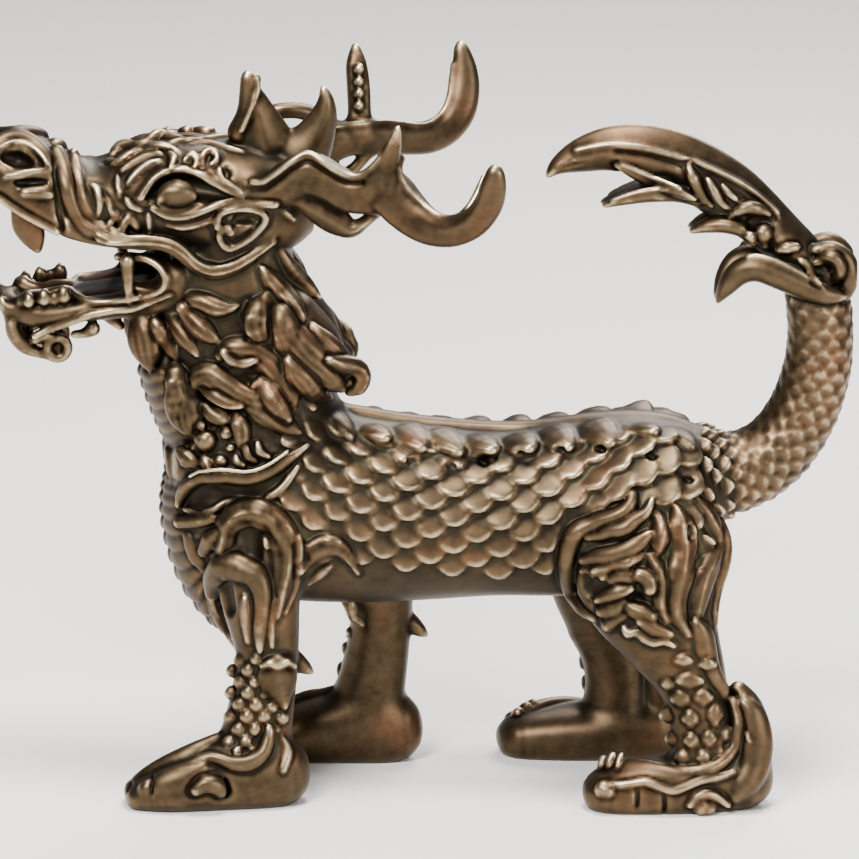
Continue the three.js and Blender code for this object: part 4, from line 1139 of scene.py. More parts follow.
# The mane: locks seen in the photograph, [px, py, half width, half thickness], each with a groove
# pressed round it and strands cut along it.
maneLocks = {
    "A": [(140, 318, 0.9, 0.9), (146, 332, 1.7, 1.3), (149, 350, 1.6, 1.3), (153, 370, 0.5, 0.6)],
    "B": [(156, 322, 0.6, 0.7), (163, 333, 1.0, 1.0), (171, 346, 0.95, 1.0), (178, 360, 0.4, 0.5)],
    "C": [(170, 314, 0.6, 0.7), (178, 326, 1.0, 1.0), (188, 340, 1.0, 1.0), (199, 357, 0.35, 0.5)],
    "E": [
        (184, 312, 0.6, 0.7), (190, 303, 0.9, 0.9), (203, 303, 1.0, 1.0), (218, 309, 1.0, 1.0),
        (234, 309, 0.6, 0.7), (242, 306, 0.3, 0.4),
    ],
    "D": [(184, 309, 0.7, 0.8), (194, 320, 1.1, 1.1), (206, 332, 1.1, 1.1), (222, 344, 0.4, 0.5)],
    "L6": [(280, 252, 0.5, 0.8), (293, 272, 0.95, 1.2), (306, 287, 0.95, 1.1), (320, 298, 0.35, 0.5)],
    "L7": [
        (262, 268, 0.4, 0.6), (272, 282, 1.0, 1.1), (284, 297, 1.2, 1.2), (296, 311, 1.0, 1.0),
        (306, 326, 0.4, 0.5),
    ],
    "kSide": [(259, 328, 1.1, 1.0), (253, 316, 1.1, 1.0), (249, 303, 0.4, 0.5)],
    "K": [(269, 340, 1.2, 1.0), (266, 326, 2.2, 1.4), (265, 311, 1.8, 1.3), (268, 294, 0.4, 0.5)],
    "kRight": [(280, 336, 0.9, 0.9), (281, 322, 1.1, 1.0), (280, 306, 0.4, 0.5)],
    "L8back": [(312, 326, 0.5, 0.7), (322, 342, 1.2, 1.1), (335, 357, 1.4, 1.2), (350, 367, 0.9, 0.9)],
    "L8": [
        (282, 312, 0.9, 0.9), (290, 336, 1.75, 1.4), (304, 356, 2.1, 1.5), (321, 372, 1.9, 1.4),
        (336, 384, 1.0, 1.0), (345, 391, 0.35, 0.5),
    ],
    "L8curl": [
        (330, 361, 0.6, 0.8), (344, 365, 0.85, 0.9), (357, 368, 0.9, 0.9), (364, 377, 0.85, 0.9),
        (360, 389, 0.75, 0.8), (349, 393, 0.5, 0.6),
    ],
    "L8low": [(289, 360, 0.6, 0.8), (299, 378, 1.3, 1.2), (314, 391, 1.2, 1.1), (331, 398, 0.4, 0.5)],
    "L9": [
        (221, 360, 0.5, 0.7), (226, 352, 0.95, 1.0), (241, 350, 1.25, 1.2), (257, 354, 1.35, 1.2),
        (271, 364, 1.45, 1.3), (281, 380, 1.45, 1.3), (288, 397, 1.3, 1.2), (295, 414, 0.4, 0.5),
    ],
    "L9curl": [(224, 352, 0.4, 0.6), (232, 361, 0.6, 0.8), (246, 364, 0.6, 0.8), (258, 361, 0.3, 0.4)],
    "L10": [
        (195, 394, 0.6, 0.8), (198, 381, 1.1, 1.1), (209, 376, 1.35, 1.2), (222, 384, 1.4, 1.3),
        (238, 395, 1.3, 1.2), (252, 401, 1.4, 1.2), (267, 410, 1.6, 1.3), (284, 423, 1.2, 1.0),
        (301, 433, 0.4, 0.5),
    ],
    "L10curl": [(203, 390, 0.4, 0.5), (214, 396, 0.7, 0.8), (228, 404, 0.7, 0.8), (243, 407, 0.35, 0.5)],
    "middle": [
        (254, 388, 0.4, 0.6), (262, 384, 0.9, 1.0), (270, 394, 1.1, 1.1), (281, 408, 1.0, 1.0),
        (291, 421, 0.4, 0.5),
    ],
    "L11": [
        (177, 364, 0.4, 0.6), (179, 382, 1.5, 1.3), (186, 402, 2.0, 1.4), (192, 421, 1.7, 1.3),
        (197, 438, 0.5, 0.6),
    ],
    "breast": [(206, 405, 0.5, 0.6), (213, 414, 0.9, 0.9), (226, 420, 0.9, 0.9), (240, 420, 0.4, 0.5)],
    "breastLow": [(236, 412, 0.4, 0.6), (241, 424, 1.0, 1.0), (243, 438, 0.9, 0.9), (240, 450, 0.4, 0.5)],
    "smallLeaf": [(180, 450, 0.5, 0.7), (189, 457, 1.1, 1.0), (201, 468, 0.4, 0.5)],
    "smallLow": [(205, 455, 0.5, 0.6), (211, 466, 0.9, 0.9), (222, 473, 0.4, 0.5)],
}
mane = {
    "widerBy": 1.25,        # the locks' full part, so that they close up
    "fullFromMm": 0.6,
    "strandMm": 0.45,       # from one cut line to the next
    "strandDepthMm": 0.2,
}
# the mane's bulk at the nape, [px, py, distance from the middle plane, half width, half thickness]
maneMass = [
    (292, 318, 4.0, 3.2, 3.6), (310, 345, 4.6, 3.6, 3.8), (334, 372, 5.4, 2.3, 2.8), (350, 380, 5.9, 1.5, 1.8),
]


def carveMane(wax):
    work = Strokes(wax, bodySeat)
    work.grow(maneMass, blend=1.2)
    for rows in (
        [(236, 372, 0.8, 1.0), (248, 374, 1.0, 1.3), (259, 378, 0.8, 1.0)],
        [(208, 401, 0.7, 1.0), (220, 407, 0.9, 1.1), (232, 411, 0.6, 0.8)],
    ):
        work.press(rows, blend=0.5)
    for lock in maneLocks.values():
        lock = [(x, y, w * (mane["widerBy"] if w > mane["fullFromMm"] else 1.0), d) for x, y, w, d in lock]
        lines = max(1, round(max(row[2] for row in lock) / mane["strandMm"]))
        cutLines = strands(lines, mane["strandDepthMm"])
        work.add(lock, blend=0.12, relief=cutLines, gap=0.7, depth=0.45, sink=-0.1)
    work.press([(349, 380, 0.5, 0.9)])
    pearls = [(207, 440, 1.4), (228, 434, 0.9), (203, 426, 0.65), (222, 462, 0.9), (196, 447, 0.65), (232, 448, 0.6),
              (216, 427, 0.5)]
    for x, y, r in pearls:
        work.add([(x, y, r, r)], blend=0.05, sink=0.1, gap=0.9, depth=0.5)
    for a, b in (((237, 456), (246, 466)), ((247, 447), (258, 462)), ((259, 443), (271, 458))):
        wisp = [(*a, 0.4, 0.6), (a[0] + 2, (a[1] + b[1]) / 2 + 2, 0.6, 0.7), (*b, 0.4, 0.6)]
        work.add(wisp, blend=0.08, gap=0.6, depth=0.4)
    print("mane carved")


# The throat, [px, py, distance from the middle plane, half width, half thickness].
throatMass = [
    (147, 318, 0, 1.6, 3.4), (151, 338, 0, 2.1, 3.4), (158, 362, 0, 2.0, 3.4), (167, 388, 0, 1.9, 3.4),
    (174, 412, 0, 1.6, 3.4), (178, 432, 0, 1.0, 2.6),
]


plateMm = 2.9  # from one cross plate of the chest to the next


def carveChest(wax):
    work = Strokes(wax, bodySeat)
    work.grow(throatMass, blend=1.0, sidesUsed=(-1,))
    # cross plates up the front of the chest, from their front edge to where they end on the sides
    edge = [
        (134, 338), (142, 364), (152, 390), (161, 412), (163, 434), (160, 455), (158, 474), (160, 499.5),
        (168, 533), (183, 567.5), (206, 597), (228, 613),
    ]
    inner = [
        (146, 336), (154, 362), (164, 388), (172, 411), (174, 434), (171, 455), (170, 474), (172.5, 499.5),
        (181, 529), (193, 557), (207, 575), (222, 588),
    ]
    front, back = (smoothRows([[*seen(x, y), 0.5] for x, y in line], pace=plateMm) for line in (edge, inner))
    for i in range(len(front)):
        j = min(round(i * (len(back) - 1) / (len(front) - 1)), len(back) - 1)
        a, b = front[i][:3], back[j][:3]
        # the lowest plates close to a rounded end
        broad = np.interp(i / (len(front) - 1), (0, 0.72, 1), (1, 1, 0.5))
        rows = [[a[0] + 0.1, 0, a[2] - 0.1, 1.45, 0.9], [a[0] + 0.8, 2.6 * broad, a[2], 1.4, 0.9],
                [b[0] + 0.3, 4.6 * broad, b[2] + 0.5, 1.2, 0.8], [b[0] + 1.9, 6.1 * broad, b[2] + 1.1, 0.6, 0.6]]
        sweep(wax, bodySeat, rows, facing=(-1, 0.15, -0.35), blend=0.15, gap=0.6, depth=0.3)


def carveShoulder(wax):
    work = Strokes(wax, frontSeat)
    work.press([
        (190, 502, 0.9, 0.9), (208, 497, 1.35, 1.3), (232, 497, 1.3, 1.3), (258, 493, 1.1, 1.2),
        (278, 484, 0.7, 0.8),
    ], sink=-0.1, blend=0.5)
    collar = [
        (180, 506, 0.4, 0.6), (184, 493, 0.75, 1.0), (193, 482, 0.85, 1.1), (208, 476, 0.85, 1.1),
        (228, 477, 0.85, 1.1), (252, 478, 0.9, 1.1), (272, 470, 0.9, 1.1), (290, 458, 0.75, 1.0),
        (309, 445, 0.3, 0.5),
    ]
    work.add(collar, blend=0.1, gap=0.8, depth=0.4, lift=0.2)
    work.add(evenly(collar[2:-1], 0.24, 0.4, down=-4.5), blend=0.08, lift=0.75)
    under = [
        (186, 510, 0.4, 0.5), (200, 514, 0.55, 0.7), (214, 511, 0.6, 0.7), (226, 503, 0.6, 0.7),
        (246, 500, 0.6, 0.7), (266, 499, 0.6, 0.7), (284, 487, 0.6, 0.7), (299, 467, 0.35, 0.5),
    ]
    work.add(under, blend=0.12, gap=0.7, depth=0.35)
    work.add([
        (180, 523, 0.7, 0.8), (198, 521, 0.9, 1.0), (216, 519, 0.7, 0.8),
    ], blend=0.1, gap=0.8, depth=0.5, lift=0.1)
    work.press([(249, 537, 1.5, 1.6), (251, 552, 1.6, 1.7), (254, 563, 1.1, 1.1)], sink=-0.1, blend=0.5)
    arch = [
        (222, 563, 0.9, 1.0), (224, 543, 1.2, 1.2), (229, 525, 1.5, 1.4), (243, 515, 1.7, 1.5),
        (262, 515, 1.8, 1.6), (277, 526, 1.8, 1.6), (286, 544, 1.8, 1.5), (287, 566, 1.7, 1.4),
        (283, 590, 1.2, 1.1), (278, 619, 0.35, 0.5),
    ]
    work.add(arch, blend=0.15, gap=0.7, depth=0.4, relief=strands(2, 0.22))
    work.add([
        (299, 536, 0.5, 0.6), (301, 556, 0.8, 0.8), (297, 580, 0.7, 0.7), (286, 614, 0.25, 0.4),
    ], gap=0.5, depth=0.3)
    work.add([(205, 551, 0.9, 1.0), (212, 540, 1.2, 1.2), (219, 532, 0.6, 0.7)], blend=0.25, gap=0.6, depth=0.3)
    work.add([(190, 537, 0.8, 0.8), (198, 555, 1.2, 1.0), (207, 568, 0.9, 0.8)], blend=0.4, gap=0.6, depth=0.3)
    work.press([(224, 590, 1.5, 1.3), (228, 607, 1.3, 1.2)], sink=-0.2, blend=0.6)
    boot = [
        (213, 594, 0.9, 1.0), (213, 579, 1.3, 1.2), (223, 569, 1.6, 1.4), (239, 567, 1.7, 1.4),
        (254, 573, 1.6, 1.4), (262, 588, 1.3, 1.2), (263, 608, 1.0, 1.0), (261, 630, 0.85, 0.8),
        (261, 652, 0.35, 0.4),
    ]
    work.add(boot, blend=0.15, gap=0.7, depth=0.35, lift=0.1)
    for rows in (
        [(212, 597, 0.5, 0.6), (217, 614, 0.75, 0.8), (229, 633, 0.7, 0.8), (238, 650, 0.35, 0.4)],
        [(246, 598, 0.5, 0.6), (247, 618, 0.7, 0.7), (249, 642, 0.35, 0.4)],
    ):
        work.add(rows, blend=0.3, gap=0.5, depth=0.25)
    work.add([(276, 600, 0.4, 0.5), (272, 622, 0.6, 0.6), (273, 648, 0.3, 0.4)], blend=0.25, gap=0.5, depth=0.25)
    flame = [
        (302, 571, 0.7, 0.7), (310, 558, 1.5, 1.2), (324, 549, 1.8, 1.3), (339, 550, 1.4, 1.1),
        (351, 562, 0.7, 0.8), (359, 575, 0.3, 0.4),
    ]
    work.add(flame, blend=0.15, gap=0.7, depth=0.4, relief=strands(2, 0.2))
    work.add([(309, 583, 0.5, 0.6), (320, 574, 0.8, 0.8), (332, 565, 0.4, 0.5)], blend=0.25, gap=0.5, depth=0.3)


# The shanks' scales, in the diamond rows that the photograph shows: the first and last place of a row
# and how many stand on it, then the half width and half height in millimetres.
shankScales = {
    "front": [
        ((240, 661), (258, 660), 2, 0.95, 0.9), ((232, 671), (265, 671), 3, 0.95, 0.9),
        ((240, 682), (257, 682), 2, 1.0, 0.92), ((231, 693), (266, 694), 3, 1.0, 0.92),
        ((240, 705), (274, 706), 3, 1.05, 0.95), ((230, 717), (283, 718), 4, 1.05, 0.95),
        ((239, 730), (274, 730), 3, 1.05, 0.95), ((229, 742), (264, 741), 3, 1.0, 0.9),
        ((238, 752), (254, 751), 2, 0.9, 0.8),
    ],
    "hind": [
        ((684, 660), (707, 664), 2, 1.4, 0.9), ((690, 680), (690, 680), 1, 2.0, 1.05),
        ((680, 699), (704, 697), 2, 1.5, 1.15), ((668, 684), (668, 684), 1, 1.0, 0.9),
        ((716, 715), (716, 715), 1, 1.5, 1.5), ((667, 716), (690, 719), 2, 1.35, 1.15),
        ((672, 739), (691, 741), 2, 1.2, 1.05), ((710, 739), (728, 734), 2, 1.2, 1.15),
        ((682, 759), (704, 759), 2, 1.3, 1.2), ((723, 754), (723, 754), 1, 1.1, 0.9),
    ],
}


def coverShank(wax, seat, rows):
    for (x0, y0), (x1, y1), count, wide, high in rows:
        for i in range(count):
            share = i / max(count - 1, 1)
            x, y = x0 + (x1 - x0) * share, y0 + (y1 - y0) * share
            reach = (wide - 0.6 * high) / shot["mmPerPixel"]
            spot = [
                (x - reach, y + 1, 0.5 * high, 0.4), (x, y, 1.05 * high, 0.55), (x + reach, y + 1, 0.5 * high, 0.4),
            ]
            lay(wax, seat, spot, blend=0.12, gap=0.4, depth=0.4)


def carveFrontLeg(wax):
    work = Strokes(wax, frontSeat)
    coverShank(wax, frontSeat, shankScales["front"])
    shield = [(279, 662, 1.9, 1.0), (279, 675, 2.4, 1.3), (281, 690, 2.0, 1.2), (285, 705, 0.7, 0.7)]
    work.add(shield, blend=0.12, gap=0.8, depth=0.45, relief=roofed(0.3))
    work.add([
        (263, 666, 0.35, 0.5), (271, 663, 0.5, 0.6), (279, 667, 0.35, 0.5), (288, 662, 0.5, 0.6),
        (296, 667, 0.3, 0.4),
    ], blend=0.1, lift=0.2)
    strap = [
        (270, 727, 0.5, 0.7), (269, 742, 0.85, 0.9), (262, 755, 0.95, 1.0), (249, 763, 1.0, 1.0),
        (233, 763, 0.9, 1.0), (219, 758, 0.8, 0.9), (206, 757, 0.7, 0.8), (192, 762, 0.5, 0.6),
        (176, 769, 0.3, 0.4),
    ]
    work.add(strap, blend=0.15, gap=0.8, depth=0.45, lift=0.05)
    ridge = [
        (218, 737, 0.6, 0.7), (200, 747, 1.0, 1.0), (182, 755, 1.0, 1.0), (164, 763, 0.9, 0.9),
        (148, 771, 0.7, 0.7), (134, 780, 0.4, 0.5),
    ]
    work.add(ridge, blend=0.5, gap=0.5, depth=0.15)
    work.add([
        (204, 768, 0.8, 0.7), (186, 776, 1.5, 1.0), (165, 782, 1.5, 1.0), (145, 788, 0.8, 0.7),
    ], blend=0.7, gap=0.5, depth=0.1)
    work.press([(225, 784, 0.5, 1.0), (227, 792, 0.7, 1.3)], blend=0.4)
    work.add([
        (197, 789, 0.8, 0.9), (206, 783, 1.1, 1.2), (217, 785, 1.1, 1.2), (221, 792, 0.7, 0.8),
    ], blend=0.15, gap=0.8, depth=0.5, lift=0.3)
    for rows in (
        [(150, 766, 0.22, 0.5), (153, 779, 0.28, 0.6), (152, 793, 0.22, 0.5)],
        [(128, 776, 0.2, 0.4), (131, 783, 0.24, 0.5), (129, 791, 0.2, 0.4)],
    ):
        work.press(rows, sink=0.1)
    work.add([(283, 738, 0.4, 0.5), (289, 752, 0.6, 0.7), (284, 770, 0.5, 0.6)], blend=0.3, gap=0.6, depth=0.25)
    spur = traced(frontSeat, [(296, 661, 8.2, 1.2, 1.1), (306, 668, 8.0, 0.8, 0.8), (313, 673, 7.9, 0.3, 0.3)])
    sweep(wax, frontSeat, spur, blend=0.4)


# The thigh and the hind leg.
def carveThigh(wax):
    work = Strokes(wax, hindSeat)
    rim = [
        (634, 494, 0.5, 0.6), (629, 507, 0.95, 1.1), (617, 516, 1.1, 1.2), (599, 523, 1.2, 1.2),
        (581, 531, 1.25, 1.2), (571, 542, 1.2, 1.2), (567, 558, 1.1, 1.1), (567, 576, 1.05, 1.1),
        (572, 593, 1.0, 1.1), (582, 609, 0.9, 1.0), (595, 620, 0.4, 0.6),
    ]
    work.add(rim, blend=0.15, gap=0.9, depth=0.6)
    work.press([(586, 547, 0.7, 1.0), (604, 543, 0.8, 1.0), (622, 539, 0.6, 0.8)], sink=-0.1, blend=0.4)
    work.press([(584, 582, 1.0, 1.3), (588, 593, 1.2, 1.4), (597, 586, 0.9, 1.1)], sink=-0.1, blend=0.5)
    leaf = [
        (581, 561, 0.5, 0.6), (598, 557, 1.0, 1.1), (618, 553, 1.15, 1.1), (636, 544, 1.1, 1.1),
        (651, 533, 0.5, 0.5),
    ]
    work.add(leaf, blend=0.12, gap=0.8, depth=0.5, relief=strands(1, 0.12))
    upperLeaf = [
        (588, 538, 0.5, 0.6), (607, 534, 0.9, 0.9), (626, 526, 1.0, 0.9), (646, 513, 0.7, 0.7),
        (652, 499, 0.35, 0.4),
    ]
    work.add(upperLeaf, blend=0.15, gap=0.7, depth=0.4)
    work.add([
        (594, 571, 0.5, 0.6), (612, 567, 0.7, 0.7), (632, 562, 0.7, 0.7), (646, 553, 0.4, 0.5),
    ], blend=0.3, gap=0.5, depth=0.3)
    for rows in (
        [(613, 582, 0.8, 0.9), (622, 576, 1.3, 1.3), (633, 577, 1.2, 1.2)],
        [(640, 575, 0.9, 1.0), (650, 580, 1.2, 1.2), (651, 590, 0.9, 1.0)],
    ):
        work.add(rows, gap=0.6, depth=0.4)
    work.add([
        (597, 601, 0.4, 0.6), (607, 597, 0.9, 1.0), (619, 592, 1.1, 1.1), (630, 590, 0.7, 0.8),
    ], blend=0.12, gap=0.7, depth=0.5, lift=0.2)
    work.press([(636, 600, 1.0, 1.2), (641, 606, 0.9, 1.1)], sink=-0.1, blend=0.4)
    work.add([(601, 612, 0.7, 0.8), (613, 609, 1.2, 1.1), (623, 603, 0.9, 0.9)], blend=0.15, gap=0.7, depth=0.4)
    work.add([(630, 607, 0.8, 0.9), (641, 612, 1.3, 1.2), (651, 617, 1.0, 1.0)], gap=0.6, depth=0.4)
    work.add([(607, 627, 0.7, 0.7), (616, 620, 0.9, 0.9), (624, 616, 0.6, 0.7)], blend=0.3, gap=0.5, depth=0.3)
    flutes = [
        [(655, 511, 0.5, 0.6), (662, 527, 1.2, 1.1), (660, 545, 1.1, 1.0), (653, 558, 0.5, 0.6)],
        [
            (650, 556, 0.6, 0.7), (657, 568, 1.1, 1.1), (662, 586, 1.2, 1.1), (662, 604, 1.1, 1.0),
            (668, 622, 0.5, 0.6),
        ],
        [
            (676, 508, 0.6, 0.7), (682, 527, 1.6, 1.3), (684, 550, 1.7, 1.4), (681, 575, 1.7, 1.4),
            (676, 597, 1.5, 1.3), (678, 616, 1.2, 1.1), (690, 636, 0.5, 0.6),
        ],
        [
            (697, 499, 0.5, 0.6), (706, 512, 1.1, 1.1), (714, 527, 1.2, 1.2), (719, 542, 1.2, 1.2),
            (713, 560, 1.4, 1.3), (705, 577, 1.5, 1.3), (700, 596, 1.3, 1.2), (697, 616, 0.9, 0.9),
            (700, 632, 0.4, 0.5),
        ],
        [
            (721, 520, 0.5, 0.6), (727, 540, 0.8, 0.9), (726, 563, 0.9, 0.9), (719, 586, 0.9, 0.9),
            (715, 608, 0.8, 0.8), (716, 628, 0.4, 0.5),
        ],
    ]
    for flute in flutes:
        work.add(flute, gap=0.6, depth=0.35, relief=strands(2, 0.16))
    for rows in (
        [(691, 529, 0.5, 0.9), (692, 536, 0.6, 1.0)],
        [(700, 556, 0.6, 1.0), (698, 564, 0.5, 0.9)],
    ):
        work.press(rows)
    calf = [
        (696, 622, 0.6, 0.7), (703, 634, 1.3, 1.2), (706, 650, 1.4, 1.2), (712, 669, 1.1, 1.0),
        (722, 688, 0.9, 0.9), (733, 706, 0.4, 0.5),
    ]
    work.add(calf, gap=0.6, depth=0.4)
    wave = [
        (624, 627, 0.35, 0.5), (628, 634, 0.55, 0.6), (637, 632, 0.55, 0.6), (644, 638, 0.6, 0.6),
        (654, 643, 0.6, 0.6), (664, 641, 0.55, 0.6), (674, 646, 0.35, 0.5),
    ]
    work.add(wave, blend=0.15, gap=0.6, depth=0.35, lift=0.15)
    work.add([(640, 622, 0.6, 0.7), (654, 629, 1.0, 1.0), (670, 634, 0.6, 0.7)], blend=0.3, gap=0.5, depth=0.3)


def carveHindLeg(wax):
    work = Strokes(wax, hindSeat)
    coverShank(wax, hindSeat, shankScales["hind"])
    heel = [
        (742, 703, 0.7, 0.8), (753, 713, 1.4, 1.0), (758, 734, 1.8, 1.1), (758, 758, 1.8, 1.1),
        (750, 782, 1.4, 0.9), (736, 798, 0.6, 0.6),
    ]
    work.add(heel, blend=0.8, gap=0.6, depth=0.15)
    work.add([(737, 722, 0.3, 0.4), (744, 731, 0.38, 0.45), (751, 743, 0.25, 0.35)], gap=0.5, depth=0.25)
    ankle = [
        (733, 700, 0.5, 0.7), (738, 720, 0.7, 0.8), (737, 740, 0.75, 0.9), (729, 757, 0.8, 0.9),
        (713, 768, 0.8, 0.9), (694, 771, 0.7, 0.8), (676, 768, 0.4, 0.5),
    ]
    work.add(ankle, blend=0.15, gap=0.8, depth=0.45)
    band = [
        (606, 768, 0.8, 0.8), (622, 769, 1.7, 1.0), (645, 773, 1.8, 1.0), (668, 778, 1.6, 0.9),
        (690, 779, 1.0, 0.8), (712, 775, 0.6, 0.6),
    ]
    work.add(band, blend=0.6, gap=0.6, depth=0.15, sink=0.35)
    edge = [
        (604, 781, 0.4, 0.5), (616, 785, 0.55, 0.6), (630, 784, 0.55, 0.6), (645, 782, 0.55, 0.6),
        (660, 787, 0.55, 0.6), (674, 791, 0.55, 0.6), (689, 786, 0.55, 0.6), (702, 781, 0.55, 0.6),
        (721, 777, 0.5, 0.6), (735, 771, 0.35, 0.4),
    ]
    work.add(edge, gap=0.6, depth=0.3)
    for x, y in ((604, 757), (613, 754), (622, 755)):
        work.add([
            (x, y, 0.4, 0.5), (x - 3, y + 7, 0.5, 0.5), (x - 5, y + 14, 0.3, 0.4),
        ], blend=0.15, gap=0.5, depth=0.3)
    work.add([(603, 789, 1.1, 1.0), (609, 792, 0.8, 0.8)], blend=0.3, gap=0.6, depth=0.3)
    for x, y in ((637, 789), (664, 796)):
        work.press([(x, y, 0.2, 0.4), (x + 1, y + 10, 0.26, 0.5), (x, y + 20, 0.2, 0.4)], sink=0.1)
    arc = [
        (690, 806, 0.4, 0.5), (697, 797, 0.6, 0.7), (708, 794, 0.65, 0.7), (719, 798, 0.6, 0.7),
        (729, 806, 0.35, 0.5),
    ]
    work.add(arc, blend=0.15, gap=0.7, depth=0.35, lift=0.1)
    work.add([(702, 807, 1.1, 1.0), (709, 808, 0.9, 0.9)], blend=0.15, lift=0.15)
    print("limbs carved")


# The leaf that the tail ends in, [px, py, distance from the middle plane, half width, half thickness].
tailLeaf = {
    "blade": [
        (548, 177, 0, 0.4, 0.7), (558, 167, 0, 1.15, 1.2), (580, 157, 0, 2.1, 1.7), (610, 150, 0, 2.7, 2.1),
        (640, 152, 0, 3.2, 2.4), (670, 161, 0, 3.6, 2.6), (700, 175, 0, 3.7, 2.8), (728, 193, 0, 3.7, 2.9),
        (753, 213, 0, 3.4, 3.0), (778, 235, 0, 3.0, 3.1), (798, 255, 0, 2.9, 3.2), (813, 277, 0, 3.0, 3.4),
        (822, 302, 0, 3.2, 3.4),
    ],
    "lowerBranch": [
        (604, 206, 0.6, 0.35, 0.8), (626, 199, 0.9, 0.8, 1.3), (650, 194, 1.2, 1.1, 1.6), (678, 194, 1.4, 1.1, 1.6),
        (700, 202, 1.5, 0.8, 1.4),
    ],
    "secondBranch": [
        (692, 231, 0.8, 0.4, 0.8), (708, 226, 1.3, 0.9, 1.3), (728, 225, 1.7, 1.1, 1.5), (748, 232, 2.0, 1.0, 1.3),
        (764, 243, 2.2, 0.8, 1.1),
    ],
    "crescent": [
        (718, 301, 1.0, 0.35, 0.7), (727, 287, 1.7, 1.1, 1.2), (740, 273, 2.2, 1.5, 1.4), (758, 269, 2.6, 1.6, 1.5),
        (780, 277, 2.9, 1.6, 1.5), (803, 287, 3.1, 1.5, 1.4), (826, 295, 3.2, 1.2, 1.2), (844, 296, 2.8, 0.6, 0.8),
    ],
    "bulge": [
        (816, 250, 1.8, 0.7, 1.0), (832, 251, 2.1, 1.1, 1.2), (845, 262, 2.2, 1.3, 1.3), (849, 278, 2.1, 1.3, 1.3),
        (845, 294, 1.8, 0.9, 1.1),
    ],
}


def carveLeaf(wax):
    work = Strokes(wax, bodySeat)
    for name, rows in tailLeaf.items():
        placed = traced(bodySeat, rows)
        if name == "blade":
            sweep(wax, bodySeat, placed, blend=0.4, sidesUsed=(-1,), power=1.35)
        else:
            sweep(wax, bodySeat, placed, blend=0.3, gap=0.8, depth=0.4)
    ridge = [
        (576, 152), (600, 147), (617, 146.5), (642, 149), (668, 155), (692, 162), (716, 171.5), (744, 186),
        (762, 200), (777, 214),
    ]
    work.add(evenly(ridge, 0.42, 0.5), blend=0.25, lift=0.05)
    work.press(evenly(ridge[2:], 0.35, 0.4, right=-1, down=7), blend=0.3)
    work.press([(556, 172, 0.15, 0.25), (568, 167, 0.22, 0.35), (582, 164, 0.15, 0.25)], blend=0.1)
    leaflet = [
        (617, 166, 0.4, 0.6), (632, 173, 0.8, 1.0), (654, 183, 0.95, 1.1), (680, 193, 0.7, 0.9),
        (697, 201, 0.35, 0.5),
    ]
    work.add(leaflet, blend=0.12, gap=0.8, depth=0.5)
    work.add(evenly(((621, 165), (636, 171.5), (656, 180), (680, 190)), 0.28, 0.4), blend=0.08, lift=0.3)
    top = [(612, 202), (627, 196), (650, 190.5), (668, 191)]
    work.add(evenly(top, 0.28, 0.4), blend=0.08, lift=0.1)
    for rows in (
        [(688, 167, 0.4, 0.6), (693, 180, 0.85, 1.0), (700, 195, 0.8, 0.9), (712, 207, 0.4, 0.5)],
        [(707, 180, 0.3, 0.5), (714, 192, 0.7, 0.8), (721, 204, 0.6, 0.7), (732, 212, 0.3, 0.4)],
    ):
        work.add(rows, blend=0.12, gap=0.8, depth=0.5)
    work.add([(722, 186, 0.25, 0.4), (729, 195, 0.5, 0.6), (738, 202, 0.3, 0.4)], blend=0.1, gap=0.7, depth=0.4)
    work.press([(750, 224, 0.6, 1.0), (762, 223, 0.7, 1.2), (771, 226, 0.4, 0.8)])
    for rows in (
        [
            (729, 217, 0.3, 0.5), (738, 211, 0.75, 0.9), (749, 208, 0.85, 1.0), (760, 211, 0.7, 0.9),
            (769, 216, 0.3, 0.5),
        ],
        [(763, 234, 1.2, 1.2)],
    ):
        work.add(rows, blend=0.08, gap=0.7, depth=0.4, lift=0.2)
    work.add([(750, 237, 0.6, 0.7), (753, 243, 0.5, 0.6)], blend=0.1, gap=0.6, depth=0.4)
    work.add([(778, 251, 0.5, 0.6), (787, 249.5, 0.75, 0.8), (797, 248, 0.5, 0.6)], blend=0.1, gap=0.7, depth=0.4)
    rim = [(748, 258), (757, 257.5), (776, 263), (792, 271), (806, 278), (822, 287)]
    work.add(evenly(rim, 0.42, 0.55), blend=0.1, lift=0.15)
    work.add(around(828, 269, 12, 0.75, -60, 210, 14), blend=0.12, lift=0.15, gap=0.7, depth=0.4)
    work.press([(820, 272, 0.65, 1.3), (825, 273, 0.6, 1.2)])
    work.add([
        (800, 262, 0.4, 0.5), (807, 266, 0.6, 0.7), (812, 277, 0.5, 0.6), (820, 284, 0.3, 0.4),
    ], blend=0.1, gap=0.6, depth=0.4)
    print("leaf carved")


# From wax to metal.
surface = {
    "insideMm": 0.06,      # how far the casting stays inside the CAD box
    "edgeReachMm": 0.55,   # the size of edge that handling rubs bright, drawn pale as a painted highlight too
    "hollowReachMm": 1.6,  # the size of hollow that keeps its patina and its painted shade
    "edgeFrom": -0.08,
    "edgeTo": 0.3,
    "hollowFrom": 0.02,
    "hollowTo": -0.2,
    "smoothKeep": 0.6,     # how much of a cell's own distance is left by the smoothing along each axis
    "looseShare": 0.3,     # a part with more loose faces than this is a crumb
}


def spread(field, cells):
    # the mean over a block of cells round each one
    for axis in range(3):
        padded = np.pad(field, [(cells, cells) if k == axis else (0, 0) for k in range(3)], mode="edge")
        parts = [
            padded[tuple(slice(i, i + field.shape[axis]) if k == axis else slice(None) for k in range(3))]
            for i in range(2 * cells + 1)
        ]
        field = sum(parts[1:], parts[0].copy()) / np.float32(2 * cells + 1)
    return field


